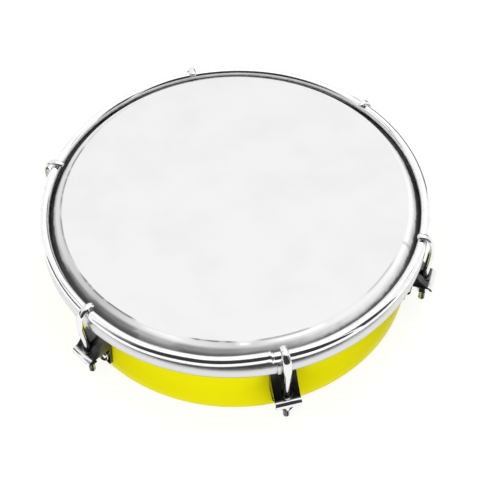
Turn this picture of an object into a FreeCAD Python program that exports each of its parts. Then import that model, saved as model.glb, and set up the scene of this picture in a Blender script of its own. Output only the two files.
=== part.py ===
"""Tamborim: a six-inch hand drum with a plastic shell, a film head and six hook tuners.

Frame: +Z up, origin at the centre of the shell's lower rim, millimetres.
Every sub-part is built with its local +X pointing out from the drum's axis, then turned about Z.
"""
import FreeCAD, Part

import math
import os
import re

import Sketcher

PARTS_FOLDER = "parts"
SHEET_NAME = "dims"
FULL_TURN = 360
HALF_TURN = 180
QUARTER_TURN = 90
HEX_SIDES = 6

# Driving dimensions, in millimetres, degrees and counts.
SIZES = {
    # Shell: one moulded ring with a rounded bearing edge
    "shell_outer_radius": 76.2,
    "shell_wall": 4.0,
    "shell_height": 44.1,
    "edge_round_radius": 2.5,
    "edge_bevel": 1.0,
    "foot_round_radius": 0.8,
    # Head film: flat disc, shoulder over the bearing edge, straight skirt
    "film_thickness": 0.2,
    "film_clearance": 0.05,
    "film_end_lift": 1.3,
    # Flesh hoop: rolled channel that holds the skirt
    "flesh_hoop_gap": 3.2,
    "flesh_hoop_width": 3.7,
    "flesh_hoop_drop": 11.9,
    "flesh_hoop_height": 7.1,
    "flesh_hoop_sheet": 0.7,
    "flesh_hoop_lip_width": 2.9,
    "flesh_hoop_inner_height": 2.6,
    "flesh_hoop_round_radius": 1.7,
    "flesh_sleeve_length": 1.7,
    "flesh_sleeve_proud": 0.3,
    "flesh_sleeve_edge": 0.9,
    "flesh_joint_angle": -91.7,
    # Bond: resin that locks the skirt in the channel
    "bond_clearance": 0.02,
    "bond_level_above_wall": 0.6,
    # Counter hoop: round rod bent into a ring
    "counter_rod_radius": 2.15,
    "counter_seat_clearance": 0.05,
    "weld_proud": 0.25,
    "weld_length": 1.8,
    "weld_angle": -93.8,
    # Tuners: places round the drum
    "tuner_count": 6,
    "first_tuner_angle": -90.0,
    # Bracket: plate on the shell, shelf for the rod, lip along the shelf
    "bracket_sheet": 1.2,
    "bracket_width": 10.8,
    "bracket_seat_clearance": 0.05,
    "bracket_plate_bottom": 3.5,
    "bracket_plate_top": 26.0,
    "bracket_plate_corner_radius": 1.6,
    "bracket_shelf_top": 18.3,
    "bracket_lip_from_rod": 4.55,
    "bracket_lip_drop": 2.3,
    "bracket_bend_radius": 0.4,
    "bracket_root_radius": 0.8,
    "bracket_web_radius": 5.0,
    "bracket_collar_wall": 1.0,
    "bracket_collar_height": 1.4,
    "bracket_edge_break": 0.25,
    # Hook: threaded rod with a flattened claw over the counter hoop
    "rod_radius": 1.45,
    "rod_end_height": 3.6,
    "rod_end_chamfer": 0.4,
    "rod_hole_clearance": 0.3,
    "hook_bend_above_shelf": 0.4,
    "hook_bend_below_shoulder": 0.7,
    "hook_lean": 0.7,
    "hook_bend_share": 0.1875,
    "hook_hoop_clearance": 0.45,
    "hook_shoulder_length": 5.15,
    "claw_clearance": 0.05,
    "claw_thickness": 1.7,
    "claw_width": 3.5,
    "claw_bend_radius": 2.4,
    "claw_wrap_angle": 30.0,
    "claw_end_round": 0.4,
    # Tuning nut: long hexagon nut under the shelf
    "tuning_nut_across_flats": 5.5,
    "tuning_nut_length": 6.5,
    "tuning_nut_clearance": 0.05,
    "thread_clearance": 0.05,
    "nut_chamfer": 0.4,
    # Lug screw, washer and nut: hold each bracket on the shell
    "screw_radius": 2.0,
    "screw_hole_clearance": 0.15,
    "screw_height": 9.2,
    "screw_head_radius": 3.6,
    "screw_head_height": 2.2,
    "screw_head_round": 1.3,
    "screw_recess_width": 0.9,
    "screw_recess_length": 3.8,
    "screw_recess_depth": 1.2,
    "screw_end_proud": 1.2,
    "screw_end_chamfer": 0.4,
    "washer_radius": 4.0,
    "washer_thickness": 0.8,
    "washer_seat_clearance": 0.03,
    "lug_nut_across_flats": 7.0,
    "lug_nut_height": 3.2,
    # Overrun for cuts that pass through a face
    "cut_overrun": 2.0,
}

document = FreeCAD.newDocument("tamborim")
subparts = []


def build_sheet():
    """Write the driving dimensions into the spreadsheet, one alias per row."""
    sheet = document.addObject("Spreadsheet::Sheet", SHEET_NAME)
    for row, (alias, size) in enumerate(SIZES.items(), start=1):
        sheet.set(f"A{row}", alias)
        sheet.set(f"B{row}", str(size))
        sheet.setAlias(f"B{row}", alias)
    document.recompute()
    return sheet


sheet = build_sheet()


def cell(formula):
    """Turn a formula in alias names into one that reads the sheet's cells."""
    def name(word):
        """A word of the formula, with the sheet's name before it where it is an alias."""
        return f"{SHEET_NAME}.{word[0]}" if word[0] in SIZES else word[0]

    return re.sub(r"[a-z_]+", name, formula)


def number(formula):
    """Value of a formula in alias names."""
    return float(sheet.evalExpression(cell(formula)))


def bind(item, **formulas):
    """Tie properties of an object to formulas in alias names."""
    for name, formula in formulas.items():
        item.setExpression(name, cell(formula))


def turned(angle):
    """Placement turned about the drum's axis by an angle in degrees."""
    axis = FreeCAD.Vector(0, 0, 1)
    return FreeCAD.Placement(FreeCAD.Vector(0, 0, 0), FreeCAD.Rotation(axis, angle))


def tuner_angle(index):
    """Angle of one tuner round the drum, in degrees."""
    return number("first_tuner_angle") + index * FULL_TURN / number("tuner_count")


def finish(item, label, angle=0):
    """Name a sub-part, turn it to its place and keep it for the export."""
    item.Label = label
    item.Placement = turned(angle)
    subparts.append(item)
    return item


def new_body(name):
    """New part design body."""
    return document.addObject("PartDesign::Body", name)


def origin_plane(body, role):
    """One of a body's own origin planes, found by its role."""
    return next(feature for feature in body.Origin.OriginFeatures if feature.Role == role)


def new_sketch(body, name, role, lift="0"):
    """New sketch on an origin plane of its body, lifted along the plane's normal."""
    sketch = body.newObject("Sketcher::SketchObject", name)
    sketch.AttachmentSupport = [(origin_plane(body, role), "")]
    sketch.MapMode = "FlatFace"
    sketch.setExpression("AttachmentOffset.Base.z", cell(lift))
    return sketch


def hold(sketch, kind, *references, formula):
    """Add a dimension to a sketch and tie it to a formula."""
    size = number(formula)
    index = sketch.addConstraint(Sketcher.Constraint(kind, *references, size))
    sketch.setExpression(f"Constraints[{index}]", cell(formula))


def hold_point(sketch, edge, end, across, up):
    """Hold one end of an edge at two formulas measured from the sketch's origin."""
    hold(sketch, "DistanceX", -1, 1, edge, end, formula=across)
    hold(sketch, "DistanceY", -1, 1, edge, end, formula=up)


def arc_through(start, end, radius, turn):
    """Arc from start to end; turn is +1 for anticlockwise, -1 for clockwise."""
    chord = end - start
    middle = (start + end) / 2
    rise = math.sqrt(max(radius ** 2 - (chord.Length / 2) ** 2, 0))
    side = FreeCAD.Vector(-chord.y, chord.x, 0).normalize() * turn
    centre = middle + side * rise
    first, last = (start, end) if turn > 0 else (end, start)
    angles = [math.atan2(point.y - centre.y, point.x - centre.x) for point in (first, last)]
    circle = Part.Circle(centre, FreeCAD.Vector(0, 0, 1), radius)
    return Part.ArcOfCircle(circle, *angles)


def outline(sketch, points, closed=True):
    """Draw lines and arcs through points held by formulas.

    Each point is (across, up), or (across, up, radius, turn) where the edge that arrives
    at it is an arc of that radius.
    """
    places = [FreeCAD.Vector(number(point[0]), number(point[1]), 0) for point in points]
    order = list(range(len(points)))
    pairs = list(zip(order, order[1:]))
    if closed:
        pairs.append((order[-1], order[0]))
    ends = {}
    starts = {}
    for start, end in pairs:
        arrival = points[end][2:]
        if arrival:
            radius, turn = arrival
            curve = arc_through(places[start], places[end], number(radius), turn)
            edge = sketch.addGeometry(curve, False)
            hold(sketch, "Radius", edge, formula=radius)
            forward = turn > 0
        else:
            edge = sketch.addGeometry(Part.LineSegment(places[start], places[end]), False)
            forward = True
        starts[start] = (edge, 1 if forward else 2)
        ends[end] = (edge, 2 if forward else 1)
    for index, point in enumerate(points):
        hold_point(sketch, *(starts.get(index) or ends[index]), *point[:2])
        if index in starts and index in ends:
            sketch.addConstraint(Sketcher.Constraint("Coincident", *ends[index], *starts[index]))
    return sketch


def circle(sketch, across, up, radius):
    """Draw a circle held by formulas."""
    centre = FreeCAD.Vector(number(across), number(up), 0)
    curve = Part.Circle(centre, FreeCAD.Vector(0, 0, 1), number(radius))
    edge = sketch.addGeometry(curve, False)
    hold(sketch, "Radius", edge, formula=radius)
    hold_point(sketch, edge, 3, across, up)
    return sketch


def rectangle(sketch, left, right, low, high):
    """Draw a rectangle held by formulas."""
    return outline(sketch, [(left, low), (right, low), (right, high), (left, high)])


def revolve(body, sketch, name, angle=None):
    """Add a sketch of the XZ plane turned about the drum's axis, all round or by a formula."""
    feature = body.newObject("PartDesign::Revolution", name)
    feature.Profile = sketch
    feature.ReferenceAxis = (sketch, ["V_Axis"])
    feature.Angle = FULL_TURN
    if angle:
        feature.Midplane = True
        bind(feature, Angle=angle)
    return feature


def pad(body, sketch, name, length, midplane=False):
    """Add a sketch drawn out by a formula."""
    feature = body.newObject("PartDesign::Pad", name)
    feature.Profile = sketch
    feature.Midplane = midplane
    bind(feature, Length=length)
    return feature


def pocket(body, sketch, name, depth, reverse=False):
    """Cut a sketch into the body by a formula, and check that it took material."""
    document.recompute()
    before = body.Shape.Volume
    feature = body.newObject("PartDesign::Pocket", name)
    feature.Profile = sketch
    feature.Reversed = reverse
    bind(feature, Length=depth)
    document.recompute()
    if body.Shape.Volume >= before:
        raise RuntimeError(f"{body.Name}: {name} cuts nothing")
    return feature


def edges_where(shape, test):
    """Names of the edges of a shape that pass a test."""
    return [f"Edge{place}" for place, edge in enumerate(shape.Edges, start=1) if test(edge)]


def dress(body, kind, name, test, **sizes):
    """Round or chamfer the body's edges that pass a test."""
    document.recompute()
    base = body.Tip
    feature = body.newObject(f"PartDesign::{kind}", name)
    feature.Base = (base, edges_where(base.Shape, test))
    bind(feature, **sizes)
    document.recompute()
    return feature


def primitive(kind, name, **formulas):
    """Primitive solid with its sizes tied to formulas."""
    item = document.addObject(f"Part::{kind}", name)
    bind(item, **formulas)
    return item


def combined(kind, name, base, tool):
    """Boolean of two solids."""
    item = document.addObject(f"Part::{kind}", name)
    item.Base = base
    item.Tool = tool
    return item


def place(item, along_x="0", along_z="0", pitch=0):
    """Put a primitive at formulas, its own axis turned about Y by pitch degrees."""
    item.Placement = FreeCAD.Placement(
        FreeCAD.Vector(0, 0, 0), FreeCAD.Rotation(FreeCAD.Vector(0, 1, 0), pitch))
    item.setExpression("Placement.Base.x", cell(along_x))
    item.setExpression("Placement.Base.z", cell(along_z))
    return item


# Formulas that several sub-parts share
SHELL_INNER = "(shell_outer_radius - shell_wall)"
EDGE_CENTRE = "(shell_outer_radius - edge_round_radius)"
EDGE_LEVEL = "(shell_height - edge_round_radius)"
FLESH_BOTTOM = "(shell_height - flesh_hoop_drop)"
FLESH_TOP = f"({FLESH_BOTTOM} + flesh_hoop_height)"
FLESH_INNER = "(shell_outer_radius + flesh_hoop_gap)"
FLESH_OUTER = f"({FLESH_INNER} + flesh_hoop_width)"
FLESH_MIDDLE = f"({FLESH_INNER} + flesh_hoop_width / 2)"
FLESH_WALL_TOP = f"({FLESH_BOTTOM} + flesh_hoop_inner_height)"
FILM_END = f"({FLESH_BOTTOM} + flesh_hoop_sheet + film_end_lift)"
FILM_BEND = "(edge_round_radius + film_clearance)"
FILM_RUN = f"({FLESH_MIDDLE} - {EDGE_CENTRE})"
FILM_FALL = f"({EDGE_LEVEL} - {FILM_END})"
FILM_REACH = f"sqrt({FILM_RUN} ^ 2 + {FILM_FALL} ^ 2)"
SKIRT_ANGLE = f"(acos({FILM_BEND} / {FILM_REACH}) - atan({FILM_FALL} / {FILM_RUN}))"
HOOP_LEVEL = f"({FLESH_TOP} + counter_seat_clearance + counter_rod_radius)"
HOOK_RADIUS = f"({FLESH_OUTER} + hook_hoop_clearance + rod_radius)"
TUNER_AXIS = f"({HOOK_RADIUS} - hook_lean)"
PLATE_BACK = "(shell_outer_radius + bracket_seat_clearance)"
PLATE_FACE = f"({PLATE_BACK} + bracket_sheet)"
SHELF_UNDER = "(bracket_shelf_top - bracket_sheet)"
LIP_FACE = f"({TUNER_AXIS} + bracket_lip_from_rod)"
ROD_HOLE = "(rod_radius + rod_hole_clearance)"
SCREW_HOLE = "(screw_radius + screw_hole_clearance)"
WASHER_FACE = f"(sqrt({SHELL_INNER} ^ 2 - washer_radius ^ 2) - washer_seat_clearance)"
LUG_NUT_FACE = f"({WASHER_FACE} - washer_thickness)"
CLAW_RADIUS = "(counter_rod_radius + claw_clearance + claw_thickness / 2)"
CLAW_LEVEL = f"({HOOP_LEVEL} + {CLAW_RADIUS})"
CLAW_START = f"({CLAW_LEVEL} - claw_bend_radius)"


def film_radius(level, offset):
    """Formula for the skirt's radius at a level, offset outwards from the bearing edge's curve."""
    touch_radius = f"({EDGE_CENTRE} + ({FILM_BEND} + {offset}) * cos({SKIRT_ANGLE}))"
    touch_level = f"({EDGE_LEVEL} + ({FILM_BEND} + {offset}) * sin({SKIRT_ANGLE}))"
    return f"({touch_radius} + ({touch_level} - {level}) * tan({SKIRT_ANGLE}))"


def build_shell():
    """Moulded shell: rounded bearing edge, plain foot, six radial screw holes."""
    body = new_body("shell")
    sketch = new_sketch(body, "shell_section", "XZ_Plane")
    outline(sketch, [
        (SHELL_INNER, "0"),
        ("shell_outer_radius - foot_round_radius", "0"),
        ("shell_outer_radius", "foot_round_radius", "foot_round_radius", 1),
        ("shell_outer_radius", EDGE_LEVEL),
        (EDGE_CENTRE, "shell_height", "edge_round_radius", 1),
        (f"{SHELL_INNER} + edge_bevel", "shell_height"),
        (SHELL_INNER, "shell_height - edge_bevel"),
    ])
    revolve(body, sketch, "shell_ring")
    holes = new_sketch(body, "shell_hole_circle", "YZ_Plane", f"{SHELL_INNER} - cut_overrun")
    circle(holes, "0", "screw_height", SCREW_HOLE)
    hole = pocket(body, holes, "shell_hole", "shell_wall + 2 * cut_overrun", reverse=True)
    pattern = body.newObject("PartDesign::PolarPattern", "shell_holes")
    pattern.Originals = [hole]
    pattern.Axis = (sketch, ["V_Axis"])
    pattern.Angle = FULL_TURN
    bind(pattern, Occurrences="tuner_count")
    body.Tip = pattern
    return finish(body, "shell", tuner_angle(0))


def build_head_film():
    """Film head: flat disc, shoulder over the bearing edge, straight skirt to the hoop."""
    body = new_body("head_film")
    sketch = new_sketch(body, "film_section", "XZ_Plane")
    under = "shell_height + film_clearance"
    outer_bend = f"({FILM_BEND} + film_thickness)"
    outline(sketch, [
        ("0", under),
        (EDGE_CENTRE, under),
        (f"{EDGE_CENTRE} + {FILM_BEND} * cos({SKIRT_ANGLE})",
         f"{EDGE_LEVEL} + {FILM_BEND} * sin({SKIRT_ANGLE})", FILM_BEND, -1),
        (film_radius(FILM_END, "0"), FILM_END),
        (film_radius(FILM_END, "film_thickness"), FILM_END),
        (f"{EDGE_CENTRE} + {outer_bend} * cos({SKIRT_ANGLE})",
         f"{EDGE_LEVEL} + {outer_bend} * sin({SKIRT_ANGLE})"),
        (EDGE_CENTRE, f"{under} + film_thickness", outer_bend, 1),
        ("0", f"{under} + film_thickness"),
    ])
    revolve(body, sketch, "film_disc")
    return finish(body, "head_film")


def build_flesh_hoop():
    """Flesh hoop: rolled channel, open at the inner top where the skirt enters, with a sleeve."""
    body = new_body("flesh_hoop")
    sketch = new_sketch(body, "flesh_section", "XZ_Plane")
    outer = FLESH_OUTER
    rounding = "flesh_hoop_round_radius"
    inside = f"({outer} - flesh_hoop_sheet)"
    inner_round = f"({rounding} - flesh_hoop_sheet)"
    floor = f"({FLESH_BOTTOM} + flesh_hoop_sheet)"
    ceiling = f"({FLESH_TOP} - flesh_hoop_sheet)"
    outline(sketch, [
        (FLESH_INNER, FLESH_BOTTOM),
        (f"{outer} - {rounding}", FLESH_BOTTOM),
        (outer, f"{FLESH_BOTTOM} + {rounding}", rounding, 1),
        (outer, f"{FLESH_TOP} - {rounding}"),
        (f"{outer} - {rounding}", FLESH_TOP, rounding, 1),
        (f"{outer} - flesh_hoop_lip_width", FLESH_TOP),
        (f"{outer} - flesh_hoop_lip_width", ceiling),
        (f"{inside} - {inner_round}", ceiling),
        (inside, f"{ceiling} - {inner_round}", inner_round, -1),
        (inside, f"{floor} + {inner_round}"),
        (f"{inside} - {inner_round}", floor, inner_round, -1),
        (f"{FLESH_INNER} + flesh_hoop_sheet", floor),
        (f"{FLESH_INNER} + flesh_hoop_sheet", FLESH_WALL_TOP),
        (FLESH_INNER, FLESH_WALL_TOP),
    ])
    revolve(body, sketch, "flesh_ring")
    sleeve = new_sketch(body, "sleeve_section", "XZ_Plane")
    rectangle(sleeve, f"{outer} - flesh_hoop_sheet / 2", f"{outer} + flesh_sleeve_proud",
              f"{FLESH_BOTTOM} + flesh_sleeve_edge", f"{FLESH_TOP} - flesh_sleeve_edge")
    revolve(body, sleeve, "sleeve",
            f"flesh_sleeve_length / {outer} * {HALF_TURN} / pi")
    return finish(body, "flesh_hoop", number("flesh_joint_angle"))


def build_head_bond():
    """Resin that fills the channel round the skirt, with a slot the film's shape."""
    body = new_body("head_bond")
    sketch = new_sketch(body, "bond_section", "XZ_Plane")
    left = f"({FLESH_INNER} + flesh_hoop_sheet + bond_clearance)"
    right = f"({FLESH_OUTER} - flesh_hoop_sheet - bond_clearance)"
    low = f"({FLESH_BOTTOM} + flesh_hoop_sheet + bond_clearance)"
    corner = "(flesh_hoop_round_radius - flesh_hoop_sheet)"
    slot_end = f"({FILM_END} - bond_clearance)"
    level = f"({FLESH_WALL_TOP} + bond_level_above_wall)"
    outline(sketch, [
        (left, low),
        (f"{right} - {corner}", low),
        (right, f"{low} + {corner}", corner, 1),
        (right, level),
        (film_radius(level, "film_thickness + bond_clearance"), level),
        (film_radius(slot_end, "film_thickness + bond_clearance"), slot_end),
        (film_radius(slot_end, "0 - bond_clearance"), slot_end),
        (film_radius(FLESH_WALL_TOP, "0 - bond_clearance"), FLESH_WALL_TOP),
        (left, FLESH_WALL_TOP),
    ])
    revolve(body, sketch, "bond_ring")
    return finish(body, "head_bond")


def build_counter_hoop():
    """Counter hoop: ring of round rod with a weld collar at its joint."""
    ring = primitive("Torus", "counter_ring", Radius1=FLESH_MIDDLE, Radius2="counter_rod_radius")
    weld = primitive("Torus", "counter_weld", Radius1=FLESH_MIDDLE,
                     Radius2="counter_rod_radius + weld_proud",
                     Angle3=f"weld_length / {FLESH_MIDDLE} * {HALF_TURN} / pi")
    for item in (ring, weld):
        item.setExpression("Placement.Base.z", cell(HOOP_LEVEL))
    hoop = combined("Fuse", "counter_hoop", ring, weld)
    return finish(hoop, "counter_hoop", number("weld_angle"))


def build_bracket(index):
    """Bracket: plate on the shell, shelf with a collared rod hole, rounded lip."""
    body = new_body(f"bracket_{index + 1}")
    profile = new_sketch(body, f"bracket_section_{index + 1}", "XZ_Plane")
    inner_bend = "bracket_bend_radius"
    outer_bend = "(bracket_bend_radius + bracket_sheet)"
    root = "bracket_root_radius"
    web = "bracket_web_radius"
    lip_back = f"({LIP_FACE} - bracket_sheet)"
    lip_end = "(bracket_shelf_top - bracket_lip_drop)"
    outline(profile, [
        (PLATE_BACK, "bracket_plate_bottom"),
        (PLATE_FACE, "bracket_plate_bottom"),
        (PLATE_FACE, f"{SHELF_UNDER} - {root}"),
        (f"{PLATE_FACE} + {root}", SHELF_UNDER, root, -1),
        (f"{lip_back} - {inner_bend}", SHELF_UNDER),
        (lip_back, f"{SHELF_UNDER} - {inner_bend}", inner_bend, -1),
        (lip_back, lip_end),
        (LIP_FACE, lip_end),
        (LIP_FACE, f"bracket_shelf_top - {outer_bend}"),
        (f"{LIP_FACE} - {outer_bend}", "bracket_shelf_top", outer_bend, 1),
        (f"{PLATE_FACE} + {web}", "bracket_shelf_top"),
        (PLATE_FACE, f"bracket_shelf_top + {web}", web, -1),
        (PLATE_FACE, "bracket_plate_top"),
        (PLATE_BACK, "bracket_plate_top"),
    ])
    pad(body, profile, f"bracket_sheet_{index + 1}", "bracket_width", midplane=True)
    collar = new_sketch(body, f"collar_circle_{index + 1}", "XY_Plane", SHELF_UNDER)
    circle(collar, TUNER_AXIS, "0", f"{ROD_HOLE} + bracket_collar_wall")
    pad(body, collar, f"collar_{index + 1}", "bracket_sheet + bracket_collar_height")
    rod_hole = new_sketch(body, f"rod_hole_circle_{index + 1}", "XY_Plane", f"{SHELF_UNDER} - cut_overrun")
    circle(rod_hole, TUNER_AXIS, "0", ROD_HOLE)
    pocket(body, rod_hole, f"rod_hole_{index + 1}",
           "bracket_sheet + bracket_collar_height + 2 * cut_overrun", reverse=True)
    screw_hole = new_sketch(body, f"screw_hole_circle_{index + 1}", "YZ_Plane",
                            f"{PLATE_BACK} - cut_overrun")
    circle(screw_hole, "0", "screw_height", SCREW_HOLE)
    pocket(body, screw_hole, f"screw_hole_{index + 1}", "bracket_sheet + 2 * cut_overrun", reverse=True)
    ends = [number("bracket_plate_bottom"), number("bracket_plate_top")]
    half = number("bracket_width / 2")

    def plate_corner(edge):
        """True for the four corner edges of the plate that run along X."""
        middle = edge.CenterOfMass
        level = min(abs(middle.z - end) for end in ends)
        side = abs(abs(middle.y) - half)
        return max(level, side, edge.BoundBox.YLength) < Part.Precision.confusion()

    dress(body, "Fillet", f"plate_corners_{index + 1}", plate_corner, Radius="bracket_plate_corner_radius")
    collar_top = number("bracket_shelf_top + bracket_collar_height")

    def collar_rim(edge):
        """True for the collar's two top circles."""
        return abs(edge.BoundBox.ZMin - collar_top) < Part.Precision.confusion()

    dress(body, "Fillet", f"collar_round_{index + 1}", collar_rim, Radius="bracket_edge_break")
    return finish(body, f"bracket_{index + 1}", tuner_angle(index))


def build_hook(index):
    """Hook: straight threaded rod, slight lean out, flattened claw over the counter hoop."""
    body = new_body(f"hook_{index + 1}")
    path = new_sketch(body, f"hook_path_{index + 1}", "XZ_Plane")
    low, high = TUNER_AXIS, HOOK_RADIUS
    shoulder_level = f"({CLAW_START} - hook_shoulder_length)"
    bend_start = "(bracket_shelf_top + hook_bend_above_shelf)"
    bend_end = f"({shoulder_level} - hook_bend_below_shoulder)"
    setback = f"(({bend_end} - {bend_start}) * hook_bend_share)"
    lean_start = f"({bend_start} + {setback})"
    lean_end = f"({bend_end} - {setback})"
    lean = f"atan(hook_lean / ({lean_end} - {lean_start}))"
    bend = f"({setback} / tan({lean} / 2))"
    outline(path, [
        (low, "rod_end_height"),
        (low, bend_start),
        (f"{low} + {setback} * sin({lean})", f"{lean_start} + {setback} * cos({lean})", bend, -1),
        (f"{high} - {setback} * sin({lean})", f"{lean_end} - {setback} * cos({lean})"),
        (high, bend_end, bend, 1),
        (high, shoulder_level),
    ], closed=False)
    section = new_sketch(body, f"rod_circle_{index + 1}", "XY_Plane", "rod_end_height")
    circle(section, low, "0", "rod_radius")
    pipe = body.newObject("PartDesign::AdditivePipe", f"rod_{index + 1}")
    pipe.Profile = section
    pipe.Spine = (path, [f"Edge{place}" for place in range(1, path.GeometryCount + 1)])
    shoulder = new_sketch(body, f"shoulder_circle_{index + 1}", "XY_Plane", shoulder_level)
    circle(shoulder, high, "0", "rod_radius")
    claw_path = new_sketch(body, f"claw_path_{index + 1}", "XZ_Plane")
    outline(claw_path, [
        (high, CLAW_START),
        (f"{high} - claw_bend_radius", CLAW_LEVEL, "claw_bend_radius", 1),
        (FLESH_MIDDLE, CLAW_LEVEL),
        (f"{FLESH_MIDDLE} - {CLAW_RADIUS} * sin(claw_wrap_angle)",
         f"{HOOP_LEVEL} + {CLAW_RADIUS} * cos(claw_wrap_angle)", CLAW_RADIUS, 1),
    ], closed=False)
    claw = new_sketch(body, f"claw_ellipse_{index + 1}", "XY_Plane", CLAW_START)
    centre = FreeCAD.Vector(number(high), 0, 0)
    major = centre + FreeCAD.Vector(0, number("claw_width / 2"), 0)
    minor = centre + FreeCAD.Vector(number("claw_thickness / 2"), 0, 0)
    ellipse = claw.addGeometry(Part.Ellipse(major, minor, centre), False)
    claw.exposeInternalGeometry(ellipse)
    hold_point(claw, ellipse, 3, high, "0")
    hold(claw, "Distance", ellipse + 1, formula="claw_width")
    hold(claw, "Distance", ellipse + 2, formula="claw_thickness")
    claw.addConstraint(Sketcher.Constraint("Vertical", ellipse + 1))
    flare = body.newObject("PartDesign::AdditiveLoft", f"shoulder_{index + 1}")
    flare.Profile = shoulder
    flare.Sections = [claw]
    arch = body.newObject("PartDesign::AdditivePipe", f"claw_{index + 1}")
    arch.Profile = claw
    arch.Spine = (claw_path, [f"Edge{place}" for place in range(1, claw_path.GeometryCount + 1)])
    rod_end = number("rod_end_height")
    ring = number(FLESH_MIDDLE)

    def rod_rim(edge):
        """True for the circle at the rod's lower end."""
        return abs(edge.BoundBox.ZMax - rod_end) < Part.Precision.confusion()

    def claw_rim(edge):
        """True for the edges of the claw's end face."""
        return edge.BoundBox.XMax < ring - Part.Precision.confusion()

    dress(body, "Chamfer", f"rod_chamfer_{index + 1}", rod_rim, Size="rod_end_chamfer")
    dress(body, "Fillet", f"claw_round_{index + 1}", claw_rim, Radius="claw_end_round")
    return finish(body, f"hook_{index + 1}", tuner_angle(index))


def hexagon_nut(name, across_flats, height, bore):
    """Hexagon nut standing on the origin along Z, its corners chamfered top and bottom."""
    corner = f"({across_flats} / 2 / cos({HALF_TURN} / {HEX_SIDES}))"
    prism = primitive("Prism", f"{name}_prism", Circumradius=corner, Height=height)
    prism.Polygon = HEX_SIDES
    blank = primitive("Cylinder", f"{name}_blank", Radius=corner, Height=height)
    document.recompute()
    turned_blank = document.addObject("Part::Chamfer", f"{name}_turned")
    turned_blank.Base = blank
    rims = [int(edge[len("Edge"):]) for edge in edges_where(
        blank.Shape, lambda edge: isinstance(edge.Curve, Part.Circle))]
    chamfer = number("nut_chamfer")
    turned_blank.Edges = [(rim, chamfer, chamfer) for rim in rims]
    hexagon = combined("Common", f"{name}_hexagon", prism, turned_blank)
    hole = primitive("Cylinder", f"{name}_bore", Radius=bore, Height=f"{height} + 2 * cut_overrun")
    place(hole, along_z="0 - cut_overrun")
    return combined("Cut", name, hexagon, hole)


def build_tuning_nut(index):
    """Long nut that bears on the shelf from below."""
    name = f"tuning_nut_{index + 1}"
    nut = hexagon_nut(name, "tuning_nut_across_flats", "tuning_nut_length", "rod_radius + thread_clearance")
    finish(nut, name, tuner_angle(index))
    level = number(f"{SHELF_UNDER} - tuning_nut_clearance - tuning_nut_length")
    inner = FreeCAD.Placement(FreeCAD.Vector(number(TUNER_AXIS), 0, level), FreeCAD.Rotation())
    nut.Placement = turned(tuner_angle(index)).multiply(inner)
    return nut


def build_lug_screw(index):
    """Pan-head screw from outside through bracket and shell."""
    name = f"lug_screw_{index + 1}"
    body = new_body(name)
    section = new_sketch(body, f"screw_section_{index + 1}", "XZ_Plane")
    length = f"({PLATE_FACE} - {LUG_NUT_FACE} + lug_nut_height + screw_end_proud)"
    outline(section, [
        ("0", "screw_head_height"),
        ("0", f"0 - {length}"),
        ("screw_radius - screw_end_chamfer", f"0 - {length}"),
        ("screw_radius", f"screw_end_chamfer - {length}"),
        ("screw_radius", "0"),
        ("screw_head_radius", "0"),
        ("screw_head_radius", "screw_head_height - screw_head_round"),
        ("screw_head_radius - screw_head_round", "screw_head_height", "screw_head_round", 1),
    ])
    revolve(body, section, f"screw_blank_{index + 1}")
    for turn, (wide, tall) in enumerate((("screw_recess_length", "screw_recess_width"),
                                         ("screw_recess_width", "screw_recess_length"))):
        slot = new_sketch(body, f"recess_{index + 1}_{turn}", "XY_Plane", "screw_head_height")
        rectangle(slot, f"0 - {wide} / 2", f"{wide} / 2", f"0 - {tall} / 2", f"{tall} / 2")
        pocket(body, slot, f"recess_cut_{index + 1}_{turn}", "screw_recess_depth")
    finish(body, name)
    inner = FreeCAD.Placement(FreeCAD.Vector(number(PLATE_FACE), 0, number("screw_height")),
                              FreeCAD.Rotation(FreeCAD.Vector(0, 1, 0), QUARTER_TURN))
    body.Placement = turned(tuner_angle(index)).multiply(inner)
    return body


def build_lug_washer(index):
    """Washer inside the shell."""
    name = f"lug_washer_{index + 1}"
    disc = primitive("Cylinder", f"{name}_disc", Radius="washer_radius", Height="washer_thickness")
    hole = primitive("Cylinder", f"{name}_hole", Radius=SCREW_HOLE,
                     Height="washer_thickness + 2 * cut_overrun")
    place(hole, along_z="0 - cut_overrun")
    washer = combined("Cut", name, disc, hole)
    finish(washer, name)
    inner = FreeCAD.Placement(FreeCAD.Vector(number(LUG_NUT_FACE), 0, number("screw_height")),
                              FreeCAD.Rotation(FreeCAD.Vector(0, 1, 0), QUARTER_TURN))
    washer.Placement = turned(tuner_angle(index)).multiply(inner)
    return washer


def build_lug_nut(index):
    """Nut inside the shell, against the washer."""
    name = f"lug_nut_{index + 1}"
    nut = hexagon_nut(name, "lug_nut_across_flats", "lug_nut_height", "screw_radius + thread_clearance")
    finish(nut, name)
    face = number(f"{LUG_NUT_FACE} - lug_nut_height")
    inner = FreeCAD.Placement(FreeCAD.Vector(face, 0, number("screw_height")),
                              FreeCAD.Rotation(FreeCAD.Vector(0, 1, 0), QUARTER_TURN))
    nut.Placement = turned(tuner_angle(index)).multiply(inner)
    return nut


def check_and_export():
    """Stop on any failed object or bad shape, then write one STEP file for each sub-part."""
    document.recompute()
    failed = [item.Name for item in document.Objects if {"Invalid", "Error"} & set(item.State)]
    if failed:
        raise RuntimeError(f"failed objects: {failed}")
    for item in subparts:
        if item.Shape.isNull() or not item.Shape.isValid() or not item.Shape.Solids:
            raise RuntimeError(f"bad shape: {item.Label}")
    os.makedirs(PARTS_FOLDER, exist_ok=True)
    for item in subparts:
        item.Shape.exportStep(os.path.join(PARTS_FOLDER, f"{item.Label}.step"))
        print(f"{item.Label}: {item.Shape.Volume:.1f} mm3, {len(item.Shape.Solids)} solid")


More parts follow.
